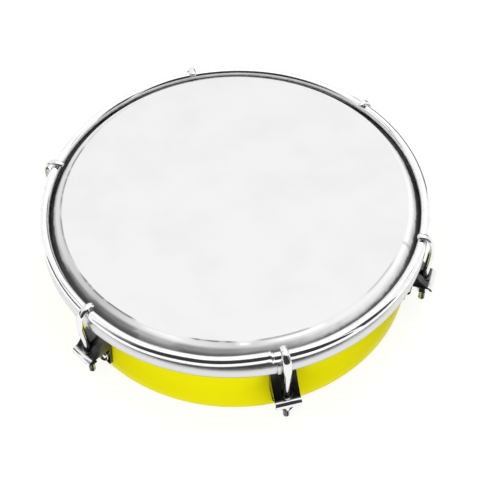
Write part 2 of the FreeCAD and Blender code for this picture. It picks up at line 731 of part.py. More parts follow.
build_shell()
build_head_film()
build_flesh_hoop()
build_head_bond()
build_counter_hoop()
for tuner in range(int(number("tuner_count"))):
    build_bracket(tuner)
    build_hook(tuner)
    build_tuning_nut(tuner)
    build_lug_screw(tuner)
    build_lug_washer(tuner)
    build_lug_nut(tuner)
check_and_export()
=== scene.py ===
"""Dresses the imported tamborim: a six-inch hand drum with a plastic shell and six hook tuners.

Sizes of the sub-assemblies are in millimetres and degrees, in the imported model's own frame:
+Z up, origin at the centre of the shell's lower rim, first tuner at -90 degrees.
Sizes of the finishes are in metres, and so are the studio's, apart from the camera's.
"""
import logging
import math
from collections.abc import Callable, Iterable, Sequence
from dataclasses import dataclass, field
from enum import Enum

import bmesh
import bpy
from mathutils import Matrix, Vector, noise


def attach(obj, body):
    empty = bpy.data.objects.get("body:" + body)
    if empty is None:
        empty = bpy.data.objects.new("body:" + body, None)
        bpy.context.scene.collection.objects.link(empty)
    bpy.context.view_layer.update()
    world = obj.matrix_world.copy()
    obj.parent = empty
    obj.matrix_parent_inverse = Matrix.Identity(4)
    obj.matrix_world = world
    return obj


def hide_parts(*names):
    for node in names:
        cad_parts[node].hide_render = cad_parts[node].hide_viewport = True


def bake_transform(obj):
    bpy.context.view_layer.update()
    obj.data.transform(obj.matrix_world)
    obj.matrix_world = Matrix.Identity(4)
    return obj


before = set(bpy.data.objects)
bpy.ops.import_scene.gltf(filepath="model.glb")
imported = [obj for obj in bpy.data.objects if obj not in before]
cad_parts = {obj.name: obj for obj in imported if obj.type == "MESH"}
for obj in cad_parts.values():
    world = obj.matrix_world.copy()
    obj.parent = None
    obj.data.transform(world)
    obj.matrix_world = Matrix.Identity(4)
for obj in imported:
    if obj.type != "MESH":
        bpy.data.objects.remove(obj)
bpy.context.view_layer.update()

MM = 0.001
TINY = 1e-5

# Sizes and places that more than one sub-assembly needs
TUNER_COUNT = 6
FIRST_TUNER_ANGLE = -90.0
SHELL_RADIUS = 76.2
FIT_GAP = 0.05
RING_RADIUS = 81.25
RING_LEVEL = 41.5
ROD_AXIS_RADIUS = 84.3
SCREW_LEVEL = 9.2
SCREW_HOLE_RADIUS = 2.15

log = logging.getLogger("tamborim")

Pair = tuple[float, float]
Triple = tuple[float, float, float]
Colour = tuple[float, float, float]
WHITE: Colour = (1.0, 1.0, 1.0)


class Body(Enum):
    """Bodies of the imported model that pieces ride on."""

    ROOT = "root"
    HOOP = "hoop"
    HOOK = "hook"
    NUT = "nut"

    def at(self, number: int) -> str:
        """Name of this body for one tuner, counted from 1."""
        return f"{self.value}_{number}" if self in (Body.HOOK, Body.NUT) else self.value


class Slot(Enum):
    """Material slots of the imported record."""

    SHELL = "shell_plastic"
    HEAD = "head_plastic"
    ALUMINIUM = "hoop_aluminium"
    HOOP = "hoop_chrome"
    TUNER = "tuner_chrome"
    STEEL = "fastener_steel"


class Join(Enum):
    """Ways to combine two meshes."""

    ADD = "UNION"
    CUT = "DIFFERENCE"
    KEEP = "INTERSECT"


# Shader trees


@dataclass(frozen=True)
class Grain:
    """A noise: its features per metre, its octaves and, where it winds round the drum, its reach."""

    scale: float
    detail: float
    reach: float | None = None


class Wire:
    """Output socket of a shader tree that takes part in plain arithmetic."""

    def __init__(self, graph: "Graph", socket: bpy.types.NodeSocket) -> None:
        """Keep the tree and the socket."""
        self.graph = graph
        self.socket = socket

    def _join(self, operation: str, first: object, second: object) -> "Wire":
        """Combine two values with the node that suits this socket.

        Args:
            operation: Name of the operation, shared by the three kinds of node.
            first: Left value, a wire or a plain value.
            second: Right value, a wire or a plain value.

        Returns:
            The result's wire.
        """
        if self.socket.type == "RGBA":
            return self.graph.add(
                "ShaderNodeMix", {"data_type": "RGBA", "blend_type": operation},
                {"Factor_Float": 1.0, "A_Color": first, "B_Color": second}, "Result_Color")
        kind = "ShaderNodeVectorMath" if self.socket.type == "VECTOR" else "ShaderNodeMath"
        return self.graph.add(kind, {"operation": operation}, {0: first, 1: second})

    def __add__(self, other: object) -> "Wire":
        """Sum."""
        return self._join("ADD", self, other)

    def __radd__(self, other: object) -> "Wire":
        """Sum, reflected."""
        return self._join("ADD", other, self)

    def __sub__(self, other: object) -> "Wire":
        """Difference."""
        return self._join("SUBTRACT", self, other)

    def __rsub__(self, other: object) -> "Wire":
        """Difference, reflected."""
        return self._join("SUBTRACT", other, self)

    def __mul__(self, other: object) -> "Wire":
        """Product."""
        return self._join("MULTIPLY", self, other)

    def __rmul__(self, other: object) -> "Wire":
        """Product, reflected."""
        return self._join("MULTIPLY", other, self)


class Graph:
    """Node tree of one material, or of the world."""

    def __init__(self, tree: bpy.types.NodeTree) -> None:
        """Empty the tree."""
        self.tree = tree
        tree.nodes.clear()

    @staticmethod
    def _socket(sockets: Iterable[bpy.types.NodeSocket], key: object) -> bpy.types.NodeSocket:
        """Find one socket of a node.

        Args:
            sockets: The node's inputs or its outputs.
            key: The socket's place, identifier or name.

        Returns:
            The socket.
        """
        found = list(sockets)
        if isinstance(key, int):
            return found[key]
        return next((s for s in found if s.identifier == key), None) or next(
            s for s in found if s.name == key)

    def add(self, kind: str, settings: dict[str, object] | None = None,
            inputs: dict[object, object] | None = None, output: object = 0) -> Wire | None:
        """Add one node.

        Args:
            kind: Blender's type name of the node.
            settings: Properties, set before the sockets.
            inputs: Values or wires, by socket name, identifier or place.
            output: Which output to hand back.

        Returns:
            The wire of that output, or None for a node without outputs.
        """
        node = self.tree.nodes.new(kind)
        for name, value in (settings or {}).items():
            setattr(node, name, value)
        for key, value in (inputs or {}).items():
            socket = self._socket(node.inputs, key)
            if isinstance(value, Wire):
                self.tree.links.new(value.socket, socket)
            elif socket.type == "RGBA" and isinstance(value, tuple):
                socket.default_value = (*value, 1.0)
            else:
                socket.default_value = value
        return Wire(self, self._socket(node.outputs, output)) if node.outputs else None

    def place(self) -> Wire:
        """Place on the piece, in metres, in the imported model's frame at rest."""
        return self.add("ShaderNodeTexCoord", output="Object")

    def plan(self) -> Wire:
        """Place on the piece with its height left out."""
        return self.place() * (1.0, 1.0, 0.0)

    def axis(self, letter: str) -> Wire:
        """One coordinate of the place on the piece, in metres."""
        return self.add("ShaderNodeSeparateXYZ", {}, {"Vector": self.place()}, letter)

    def angle(self) -> Wire:
        """Angle round the drum's axis, in radians from -pi to pi."""
        return self.add("ShaderNodeMath", {"operation": "ARCTAN2"},
                        {0: self.axis("Y"), 1: self.axis("X")})

    def radius(self) -> Wire:
        """Distance from the drum's axis, in metres."""
        return self.add("ShaderNodeVectorMath", {"operation": "LENGTH"}, {0: self.plan()}, "Value")

    def wound(self, reach: float) -> Wire:
        """Coordinates that wind round the drum.

        Args:
            reach: Radius of the circle that they run on.

        Returns:
            A place on that circle, with the radius and the height together as its level.
        """
        circle = self.add("ShaderNodeVectorMath", {"operation": "NORMALIZE"}, {0: self.plan()}, "Vector")
        across = self.add("ShaderNodeCombineXYZ", {}, {"Z": self.radius() + self.axis("Z")})
        return circle * (reach, reach, reach) + across

    def mottle(self, grain: Grain) -> Wire:
        """Noise from 0 to 1, on the place on the piece or wound round the drum."""
        where = self.wound(grain.reach) if grain.reach else self.place()
        return self.add("ShaderNodeTexNoise", {"noise_dimensions": "3D"},
                        {"Vector": where, "Scale": grain.scale, "Detail": grain.detail}, "Fac")

    def ramp(self, value: Wire, low: float, high: float, start: float = 0.0, end: float = 1.0) -> Wire:
        """Smooth step of a value between two limits.

        Args:
            value: What is mapped.
            low: Where the step begins.
            high: Where the step ends.
            start: Result below the step.
            end: Result above the step.

        Returns:
            The mapped value.
        """
        return self.add("ShaderNodeMapRange", {"interpolation_type": "SMOOTHSTEP"},
                        {"Value": value, "From Min": low, "From Max": high,
                         "To Min": start, "To Max": end})

    def band(self, value: Wire, rise: Pair, fall: Pair) -> Wire:
        """1 between two smooth steps, the first one up and the second one down."""
        return self.ramp(value, *rise) * self.ramp(value, *fall, 1.0, 0.0)

    def blend(self, amount: Wire, first: object, second: object) -> Wire:
        """Colour between two colours."""
        return self.add("ShaderNodeMix", {"data_type": "RGBA"},
                        {"Factor_Float": amount, "A_Color": first, "B_Color": second},
                        "Result_Color")

    def relief(self, height: Wire, depth: float, strength: float) -> Wire:
        """Bump from a height; depth in metres."""
        return self.add("ShaderNodeBump", {}, {"Height": height, "Distance": depth,
                                               "Strength": strength})

    def table(self, value: Wire, entries: Sequence[Pair]) -> Wire:
        """Number read from a table, straight from one entry to the next.

        Args:
            value: What is looked up, from 0 to 1.
            entries: Places and numbers from 0 to 1, in rising order.

        Returns:
            The number.
        """
        colour = self.add("ShaderNodeValToRGB", {}, {0: value}, "Color")
        stops = colour.socket.node.color_ramp.elements
        while len(stops) < len(entries):
            stops.new(0.5)
        for stop, (place, number) in zip(stops, entries):
            stop.position = place
            stop.color = (number, number, number, 1.0)
        return self.add("ShaderNodeRGBToBW", {}, {0: colour})

    def grey(self, value: Wire) -> Wire:
        """A grey as a colour."""
        return self.add("ShaderNodeCombineColor", {}, {"Red": value, "Green": value, "Blue": value})

    def backdrop(self) -> Wire:
        """1 for the rays that show the background, straight or in metal and clear film, else 0."""
        camera, mirror, clear = (
            self.add("ShaderNodeLightPath", output=kind)
            for kind in ("Is Camera Ray", "Is Glossy Ray", "Is Transmission Ray"))
        return self.add("ShaderNodeMath", {"operation": "MINIMUM"}, {0: camera + mirror + clear, 1: 1.0})

    def surface(self, **inputs: object) -> None:
        """Finish the tree with one principled surface.

        Args:
            inputs: Values or wires of its sockets, their names written with underscores.
        """
        named = {name.replace("_", " "): value for name, value in inputs.items()}
        shader = self.add("ShaderNodeBsdfPrincipled", {}, named)
        self.add("ShaderNodeOutputMaterial", {}, {"Surface": shader})


# Finishes


@dataclass(frozen=True)
class Finish:
    """A finish that makes its material once."""

    name: str

    def paint(self, graph: Graph) -> None:
        """Fill the material's tree; each finish does this its own way."""
        raise NotImplementedError

    def material(self) -> bpy.types.Material:
        """Hand out the finish's material, made at the first call.

        Returns:
            The material.
        """
        found = bpy.data.materials.get(self.name)
        if found is None:
            found = bpy.data.materials.new(self.name)
            found.use_nodes = True
            self.paint(Graph(found.node_tree))
        return found


@dataclass(frozen=True)
class MouldedPlastic(Finish):
    """Glossy moulded plastic with a faint flow pattern and a fine skin."""

    colour: Colour = (0.84, 0.78, 0.002)
    worn: Colour = (0.77, 0.71, 0.002)
    flow: Grain = Grain(28.0, 4.0, 0.03)
    flow_limits: Pair = (0.35, 0.75)
    scuff: Grain = Grain(420.0, 6.0)
    scuff_limits: Pair = (0.62, 0.8)
    skin: Grain = Grain(1500.0, 2.0)
    skin_depth: float = 0.00002
    skin_strength: float = 0.35
    roughness: float = 0.24
    patches: float = 0.12
    shine: float = 0.04

    def paint(self, graph: Graph) -> None:
        """Let the colour drift with the flow, under a shallow orange peel.

        Args:
            graph: The material's tree.
        """
        flow = graph.mottle(self.flow)
        scuff = graph.ramp(graph.mottle(self.scuff), *self.scuff_limits)
        graph.surface(
            Base_Color=graph.blend(graph.ramp(flow, *self.flow_limits), self.colour, self.worn),
            Roughness=flow * self.patches + scuff * self.patches + self.roughness,
            Normal=graph.relief(graph.mottle(self.skin), self.skin_depth, self.skin_strength),
            Specular_IOR_Level=self.shine)


@dataclass(frozen=True)
class MilkyFilm(Finish):
    """Milky head film: satin where it is played, clear and glossy on the collar, with reflections,
    highlights and shade painted on the collar.
    """

    colour: Colour = (0.79, 0.79, 0.793)
    cloudy: Colour = (0.76, 0.76, 0.763)
    # Painted shade: colour of the dark crease lines and of one dark fold in the collar
    crease: Colour = (0.16, 0.16, 0.165)
    # Painted highlight beside the crease
    painted_highlight: Colour = (0.98, 0.98, 0.98)
    cloud: Grain = Grain(60.0, 5.0)
    cloud_limits: Pair = (0.35, 0.75)
    grain: Grain = Grain(2600.0, 2.0)
    streak: Grain = Grain(900.0, 3.0, 0.012)
    jitter: Grain = Grain(1.0, 4.0, 30.0)
    jitter_travel: float = 0.0012
    drift: Grain = Grain(1.0, 2.0, 3.2)
    drift_travel: float = 0.0008
    breaks: Grain = Grain(1.0, 3.0, 14.0)
    break_limits: Pair = (0.3, 0.5)
    break_least: float = 0.55
    shoulder_radii: Pair = (0.0737, 0.0743)
    crease_shade_radii: tuple[Pair, Pair] = ((0.0730, 0.0735), (0.0737, 0.0743))
    painted_highlight_radii: tuple[Pair, Pair] = ((0.0740, 0.0745), (0.0748, 0.0756))
    skirt_radii: Pair = (0.0755, 0.0764)
    skirt_slant: float = 4.0
    # How much the streaks add to the skirt's painted reflections and shade, and the share that they leave
    # alone
    skirt_streaks: Pair = (0.6, 0.7)
    # Painted shade on the collar next to the hoop: where it starts, how far its start moves round the drum,
    # and its soft edge
    painted_shade_radius: float = 0.0766
    painted_shade_travel: float = 0.0015
    painted_shade_limits: Pair = (-0.0003, 0.0005)
    # Painted shade of one fold in the collar: its angle, its spread and its strength
    fold_shade_angle: float = -33.8
    fold_shade_limits: Pair = (0.004, 0.018)
    fold_shade_strength: float = 0.35
    # How rough each part is at least, and how much its noise adds
    coat_roughness: Pair = (0.32, 0.1)
    collar_roughness: Pair = (0.16, 0.16)
    relief_depth: float = 0.00003
    relief_strength: float = 0.4
    shine: float = 0.4
    # Tables round the drum: share of the turn from -180 degrees, and a grey or a strength. The greys are
    # painted reflections and shade; the strengths are those of the painted crease shade and the painted
    # highlight; the starts move the painted shade next to the hoop
    shoulder_painted_greys: tuple[Pair, ...] = (
        (0.0, 0.6), (0.046, 0.5), (0.091, 0.45), (0.13, 0.6), (0.16, 0.7), (0.213, 0.52), (0.255, 0.65),
        (0.3, 0.75), (0.38, 0.8), (0.43, 0.88), (0.6, 0.84), (0.86, 0.78), (0.93, 0.66), (1.0, 0.6))
    skirt_painted_greys: tuple[Pair, ...] = (
        (0.0, 0.6), (0.03, 0.5), (0.046, 0.2), (0.074, 0.24), (0.091, 0.19), (0.1285, 0.2), (0.131, 0.43),
        (0.166, 0.43), (0.1685, 0.28), (0.213, 0.3), (0.241, 0.4), (0.269, 0.55), (0.3, 0.68),
        (0.352, 0.83), (0.47, 0.8), (0.63, 0.8), (0.86, 0.75), (0.935, 0.62), (1.0, 0.6))
    painted_shade_greys: tuple[Pair, ...] = (
        (0.0, 0.1), (0.046, 0.13), (0.09, 0.19), (0.1285, 0.22), (0.131, 0.42), (0.166, 0.43),
        (0.1685, 0.25), (0.241, 0.3), (0.255, 0.5), (0.269, 0.5), (0.283, 0.3), (0.324, 0.24),
        (0.38, 0.17), (0.42, 0.1), (0.5, 0.12), (0.64, 0.12), (0.66, 0.05), (0.8, 0.05), (0.84, 0.12),
        (0.95, 0.1), (1.0, 0.1))
    painted_shade_starts: tuple[Pair, ...] = (
        (0.0, 0.1), (0.05, 0.2), (0.12, 0.3), (0.24, 0.35), (0.28, 0.55), (0.38, 0.5), (0.42, 0.35),
        (0.46, 0.3), (0.52, 0.6), (0.58, 0.9), (0.66, 0.95), (0.8, 0.95), (0.86, 0.85), (0.93, 0.3),
        (1.0, 0.1))
    crease_shade_strengths: tuple[Pair, ...] = (
        (0.0, 0.8), (0.046, 0.3), (0.058, 1.0), (0.118, 1.0), (0.124, 0.05), (0.172, 0.05),
        (0.178, 1.0), (0.208, 1.0), (0.214, 0.1), (0.228, 0.1), (0.234, 0.75), (0.272, 0.65),
        (0.28, 0.1), (0.335, 0.05), (0.345, 0.4), (0.378, 0.4), (0.39, 0.0), (0.8, 0.0), (0.83, 0.15),
        (0.88, 0.35), (0.885, 0.05), (0.895, 0.85), (0.96, 0.85), (0.975, 0.3), (0.985, 0.85), (1.0, 0.8))
    painted_highlight_strengths: tuple[Pair, ...] = (
        (0.128, 0.0), (0.136, 0.35), (0.162, 0.35), (0.17, 0.0), (0.214, 0.0), (0.2165, 1.0),
        (0.2215, 1.0), (0.224, 0.0), (0.232, 0.0), (0.25, 0.6), (0.27, 1.0), (0.286, 0.9),
        (0.292, 0.0), (0.355, 0.0), (0.4, 0.5), (0.45, 0.7), (0.49, 0.0))

    def collar(self, graph: Graph, colour: Wire, edge: Wire, streak: Wire) -> Wire:
        """Paint the film past the bearing edge: reflections and shade on the shoulder and the skirt, shade
        in the creases and one fold, a highlight, and shade next to the hoop.

        Args:
            graph: The material's tree.
            colour: Colour so far.
            edge: 0 on the milky coat and 1 on the collar.
            streak: The collar's noise.

        Returns:
            The colour of the whole film.
        """
        radius, angle = graph.radius(), graph.angle()
        share = angle * (0.5 / math.pi) + 0.5
        wander = (graph.mottle(self.drift) - 0.5) * self.drift_travel
        # Painted reflections and shade on the shoulder, a grey set by angle round the drum
        colour = graph.blend(edge, colour, graph.grey(graph.table(share, self.shoulder_painted_greys)))
        # Painted reflections and shade on the skirt, in slanted patches round the drum, streaked by noise
        slant = (radius - self.skirt_radii[0]) * self.skirt_slant
        added, least = self.skirt_streaks
        skirt = graph.table(share + slant, self.skirt_painted_greys) * (streak * added + least)
        colour = graph.blend(graph.ramp(radius, *self.skirt_radii), colour, graph.grey(skirt))
        # Painted shade along the crease, broken up by noise
        broken = graph.ramp(graph.mottle(self.breaks), *self.break_limits, self.break_least, 1.0)
        crease_shade = graph.table(share, self.crease_shade_strengths) * broken
        colour = graph.blend(graph.band(radius + wander, *self.crease_shade_radii) * crease_shade, colour, self.crease)
        # Painted highlight just outside the crease
        highlight_strength = graph.table(share, self.painted_highlight_strengths)
        colour = graph.blend(graph.band(radius - wander, *self.painted_highlight_radii) * highlight_strength, colour, self.painted_highlight)
        # Painted shade of one fold
        off = graph.add("ShaderNodeMath", {"operation": "ABSOLUTE"},
                        {0: angle - math.radians(self.fold_shade_angle)})
        fold = graph.ramp(off, *self.fold_shade_limits, self.fold_shade_strength, 0.0) * edge
        colour = graph.blend(fold, colour, self.crease)
        # Painted shade on the collar next to the hoop
        start = (graph.table(share, self.painted_shade_starts) * self.painted_shade_travel
                 + self.painted_shade_radius + (graph.mottle(self.jitter) - 0.5) * self.jitter_travel)
        painted_shade = graph.ramp(radius - start, *self.painted_shade_limits)
        return graph.blend(painted_shade, colour, graph.grey(graph.table(share, self.painted_shade_greys)))

    def paint(self, graph: Graph) -> None:
        """Stop the milky coat at the bearing edge and paint reflections, highlights and shade on the clear
        collar.

        Args:
            graph: The material's tree.
        """
        edge = graph.ramp(graph.radius(), *self.shoulder_radii)
        streak, cloud, grain = (graph.mottle(noisy) for noisy in (self.streak, self.cloud, self.grain))
        coat = graph.blend(graph.ramp(cloud, *self.cloud_limits), self.colour, self.cloudy)
        satin = cloud * self.coat_roughness[1] + self.coat_roughness[0]
        glossy = streak * self.collar_roughness[1] + self.collar_roughness[0]
        graph.surface(
            Base_Color=self.collar(graph, coat, edge, streak),
            Roughness=(1.0 - edge) * satin + edge * glossy,
            Normal=graph.relief(grain * (1.0 - edge) + streak * edge, self.relief_depth,
                                self.relief_strength),
            Specular_IOR_Level=self.shine)


@dataclass(frozen=True)
class Chrome(Finish):
    """Bright chrome plate over cold-worked steel."""

    colour: Colour = (0.93, 0.93, 0.94)
    spots: Colour = (0.82, 0.82, 0.83)
    cloud: Grain = Grain(260.0, 4.0)
    cloud_limits: Pair = (0.45, 0.8)
    cloud_dulling: float = 0.06
    scratch: Grain = Grain(2400.0, 8.0)
    scratch_limits: Pair = (0.64, 0.74)
    scratch_dulling: float = 0.1
    waves: Grain = Grain(170.0, 2.0)
    ripple: float = 0.00004
    ripple_strength: float = 0.5
    roughness: float = 0.05

    def plate(self, graph: Graph, colour: Wire, roughness: Wire) -> None:
        """Finish the tree with metal that keeps the ripple of the steel under it."""
        graph.surface(Base_Color=colour, Metallic=1.0, Roughness=roughness,
                      Normal=graph.relief(graph.mottle(self.waves), self.ripple, self.ripple_strength))

    def paint(self, graph: Graph) -> None:
        """Give the plate cloudy spots and fine scratches.

        Args:
            graph: The material's tree.
        """
        cloud = graph.mottle(self.cloud)
        scratch = graph.ramp(graph.mottle(self.scratch), *self.scratch_limits)
        self.plate(graph, graph.blend(graph.ramp(cloud, *self.cloud_limits), self.colour, self.spots),
                   cloud * self.cloud_dulling + scratch * self.scratch_dulling + self.roughness)


@dataclass(frozen=True)
class DarkReflectionChrome(Chrome):
    """Bracket plate: a painted dark reflection on the plate and the shelf, bright on the turned-down lip."""

    # Painted dark reflection: its colour and spots, their noise limits, the radii where it gives way to
    # bright metal, and the roughness it adds
    dark_reflection: Colour = (0.07, 0.07, 0.071)
    dark_reflection_spots: Colour = (0.12, 0.12, 0.122)
    dark_reflection_limits: Pair = (0.4, 0.75)
    dark_reflection_radii: Pair = (0.0866, 0.0874)
    dark_reflection_dulling: float = 0.16

    def paint(self, graph: Graph) -> None:
        """Let the painted dark reflection run out into bright metal along the lip's bend.

        Args:
            graph: The material's tree.
        """
        cloud = graph.mottle(self.cloud)
        bright = graph.ramp(graph.radius(), *self.dark_reflection_radii)
        # Painted dark reflection, mottled by the cloud noise
        dark_reflection_colour = graph.blend(graph.ramp(cloud, *self.dark_reflection_limits), self.dark_reflection, self.dark_reflection_spots)
        dull = bright * -self.dark_reflection_dulling + (self.roughness + self.dark_reflection_dulling)
        self.plate(graph, graph.blend(bright, dark_reflection_colour, self.colour), cloud * self.cloud_dulling + dull)


@dataclass(frozen=True)
class SatinAluminium(Finish):
    """Rolled aluminium with fine lines along the ring."""

    colour: Colour = (0.78, 0.78, 0.79)
    lines: Colour = (0.68, 0.68, 0.69)
    rolling: Grain = Grain(5200.0, 4.0, 0.0012)
    rolling_dulling: float = 0.14
    cloud: Grain = Grain(180.0, 4.0)
    cloud_dulling: float = 0.1
    roughness: float = 0.2
    relief_depth: float = 0.00002
    relief_strength: float = 0.5

    def paint(self, graph: Graph) -> None:
        """Run the rolling lines round the ring, so that they break up the sheen.

        Args:
            graph: The material's tree.
        """
        line, cloud = graph.mottle(self.rolling), graph.mottle(self.cloud)
        graph.surface(
            Base_Color=graph.blend(line, self.colour, self.lines),
            Metallic=1.0,
            Roughness=line * self.rolling_dulling + cloud * self.cloud_dulling + self.roughness,
            Normal=graph.relief(line, self.relief_depth, self.relief_strength))


@dataclass(frozen=True)
class MottledFinish(Finish):
    """Finish of two tones whose one noise also sets its sheen and its skin."""

    colour: Colour
    mottled: Colour
    grain: Grain
    limits: Pair
    roughness: float
    dulling: float
    relief_depth: float
    relief_strength: float
    metallic: float

    def paint(self, graph: Graph) -> None:
        """Lay colour, sheen and skin from the one noise.

        Args:
            graph: The material's tree.
        """
        cloud = graph.mottle(self.grain)
        graph.surface(
            Base_Color=graph.blend(graph.ramp(cloud, *self.limits), self.colour, self.mottled),
            Metallic=self.metallic,
            Roughness=cloud * self.dulling + self.roughness,
            Normal=graph.relief(cloud, self.relief_depth, self.relief_strength))


SHELL_FINISH = MouldedPlastic("yellow_shell_plastic")
HEAD_FINISH = MilkyFilm("milky_head_film")
HOOP_FINISH = Chrome("hoop_chrome_plate")
TUNER_LOOK = {"colour": (0.86, 0.86, 0.87), "roughness": 0.09, "ripple": 0.00006}
TUNER_FINISH = Chrome("tuner_chrome_plate", **TUNER_LOOK)
# Brackets: a painted dark reflection on the plate and the shelf
BRACKET_FINISH = DarkReflectionChrome("dark_reflection_bracket_plate", **TUNER_LOOK)
ALUMINIUM_FINISH = SatinAluminium("satin_hoop_aluminium")
STEEL_FINISH = MottledFinish(
    "zinc_plated_steel", colour=(0.66, 0.67, 0.66), mottled=(0.56, 0.56, 0.52), grain=Grain(500.0, 5.0),
    limits=(0.3, 0.7), roughness=0.22, dulling=0.2, relief_depth=0.00002, relief_strength=0.4, metallic=1.0)
RESIN_FINISH = MottledFinish(
    "set_bond_resin", colour=(0.48, 0.46, 0.40), mottled=(0.56, 0.54, 0.48), grain=Grain(1200.0, 3.0),
    limits=(0.4, 0.7), roughness=0.4, dulling=0.2, relief_depth=0.00005, relief_strength=0.5, metallic=0.0)


# Meshes


def smooth(share: float) -> float:
    """Smooth step of a share, held between 0 and 1."""
    held = min(max(share, 0.0), 1.0)
    return held * held * (3.0 - 2.0 * held)


def bell(value: float, middle: float, width: float, power: int = 2) -> float:
    """Bump of height 1 about a middle; a higher power makes it flatter on top."""
    return math.exp(-((value - middle) / width) ** power)


def tuner_angle(number: int) -> float:
    """Angle of a tuner round the drum, counted from 1."""
    return FIRST_TUNER_ANGLE + 360.0 / TUNER_COUNT * (number - 1)


def spin(angle: float) -> Matrix:
    """Turn about the drum's axis by degrees."""
    return Matrix.Rotation(math.radians(angle), 4, "Z")


def outward(radius: float, level: float) -> Matrix:
    """Place at a radius and a level whose own Z runs out along the radius."""
    return Matrix.Translation((radius, 0, level)) @ Matrix.Rotation(math.radians(90.0), 4, "Y")


def polar(radius: float, turn: float, level: float) -> Vector:
    """Point at a radius, an angle in radians and a level."""
    return Vector((radius * math.cos(turn), radius * math.sin(turn), level))


def circle(radius: float, level: float, segments: int) -> list[Vector]:
    """Points of a circle about Z, at a level."""
    return [polar(radius, 2 * math.pi * place / segments, level) for place in range(segments)]


def arc(centre: Pair, radius: float, start: float, end: float, steps: int) -> list[Pair]:
    """Points on an arc.

    Args:
        centre: Centre of the arc.
        radius: Radius in millimetres.
        start: First angle in degrees.
        end: Last angle in degrees.
        steps: How many chords.

    Returns:
        The points, both ends included.
    """
    turns = [math.radians(start + (end - start) * step / steps) for step in range(steps + 1)]
    return [(centre[0] + radius * math.cos(t), centre[1] + radius * math.sin(t)) for t in turns]


def weave(mesh: bmesh.types.BMesh, loops: Sequence[Sequence[bmesh.types.BMVert]], ring: bool = False,
          wrap: bool = True) -> None:
    """Put a face between every two neighbours of neighbouring loops.

    Args:
        mesh: The mesh that takes the faces.
        loops: Loops with the same number of points.
        ring: Whether the last loop meets the first.
        wrap: Whether each loop's last point meets its first.
    """
    count = len(loops[0])
    for here, there in zip(loops, [*loops[1:], loops[0]] if ring else loops[1:]):
        for place in range(count if wrap else count - 1):
            following = (place + 1) % count
            mesh.faces.new((here[place], here[following], there[following], there[place]))


def lathe(profile: Sequence[Pair], segments: int,
          warp: Callable[[float, float, float], Pair] | None = None) -> bmesh.types.BMesh:
    """Turn a closed profile about the drum's axis.

    Args:
        profile: Points of radius and height, anticlockwise seen with the radius to the right.
        segments: How many steps round.
        warp: Moves a point of radius and height at an angle in degrees.

    Returns:
        The turned mesh.
    """
    mesh = bmesh.new()
    rings = []
    for step in range(segments):
        angle = 360.0 * step / segments
        points = [warp(*point, angle) if warp else point for point in profile]
        rings.append([mesh.verts.new(polar(across, math.radians(angle), up)) for across, up in points])
    weave(mesh, rings, ring=True)
    bmesh.ops.remove_doubles(mesh, verts=mesh.verts, dist=TINY)
    bmesh.ops.recalc_face_normals(mesh, faces=mesh.faces)
    return mesh


def skin(rings: Sequence[Sequence[Vector]]) -> bmesh.types.BMesh:
    """Cover a run of closed rings and cap both ends.

    Args:
        rings: Rings with the same number of points.

    Returns:
        The closed mesh.
    """
    mesh = bmesh.new()
    loops = [[mesh.verts.new(point) for point in ring] for ring in rings]
    weave(mesh, loops)
    mesh.faces.new(list(reversed(loops[0])))
    mesh.faces.new(loops[-1])
    bmesh.ops.recalc_face_normals(mesh, faces=mesh.faces)
    return mesh


def prism(profile: Sequence[Pair], low: float, high: float) -> bmesh.types.BMesh:
    """Draw a closed profile of X and Z out along Y, from the low side to the high one."""
    return skin([[Vector((across, side, up)) for across, up in profile] for side in (low, high)])


def slab(near: float, far: float, low: float, high: float, half: Pair) -> bmesh.types.BMesh:
    """Block between two radii, two levels and two sides of the X axis."""
    return prism([(near, low), (far, low), (far, high), (near, high)], *half)


def rod(radius: float, low: float, high: float, segments: int = 48) -> bmesh.types.BMesh:
    """Plain round bar along Z, used as a cutter or a core."""
    return skin([circle(radius, level, segments) for level in (low, high)])


def threaded_rings(radius: float, low: float, high: float, pitch: float, chamfer: float,
                   segments: int) -> list[list[Vector]]:
    """Rings of a threaded bar along Z with a chamfer at its lower end.

    Args:
        radius: Outer radius.
        low: Lower end.
        high: Upper end.
        pitch: Thread pitch.
        chamfer: Size of the lower chamfer.
        segments: Points in a ring.

    Returns:
        The rings from the lower end up.
    """
    rings_per_turn, depth_share = 6, 0.6
    rings = []
    count = round((high - low) / (pitch / rings_per_turn))
    for step in range(count + 1):
        level = low + (high - low) * step / count
        cap = radius - chamfer + (level - low)
        depth = depth_share * pitch * smooth((high - level) / pitch)
        ring = []
        for place in range(segments):
            turn = 2 * math.pi * place / segments
            share = (level / pitch - turn / (2 * math.pi)) % 1.0
            ring.append(polar(min(radius - depth * abs(2.0 * share - 1.0), cap), turn, level))
        rings.append(ring)
    return rings


def add_object(name: str, mesh: bmesh.types.BMesh, material: bpy.types.Material) -> bpy.types.Object:
    """Make an object from a mesh in metres and link it to the scene.

    Args:
        name: Name of the object.
        mesh: The mesh, which is freed.
        material: The object's material.

    Returns:
        The object.
    """
    data = bpy.data.meshes.new(name)
    mesh.to_mesh(data)
    mesh.free()
    data.materials.append(material)
    item = bpy.data.objects.new(name, data)
    bpy.context.scene.collection.objects.link(item)
    return item


def shade(item: bpy.types.Object, sharp: float) -> None:
    """Shade an object smoothly, but for the edges past an angle in degrees."""
    item.data.shade_smooth()
    item.data.set_sharp_from_angle(angle=math.radians(sharp))


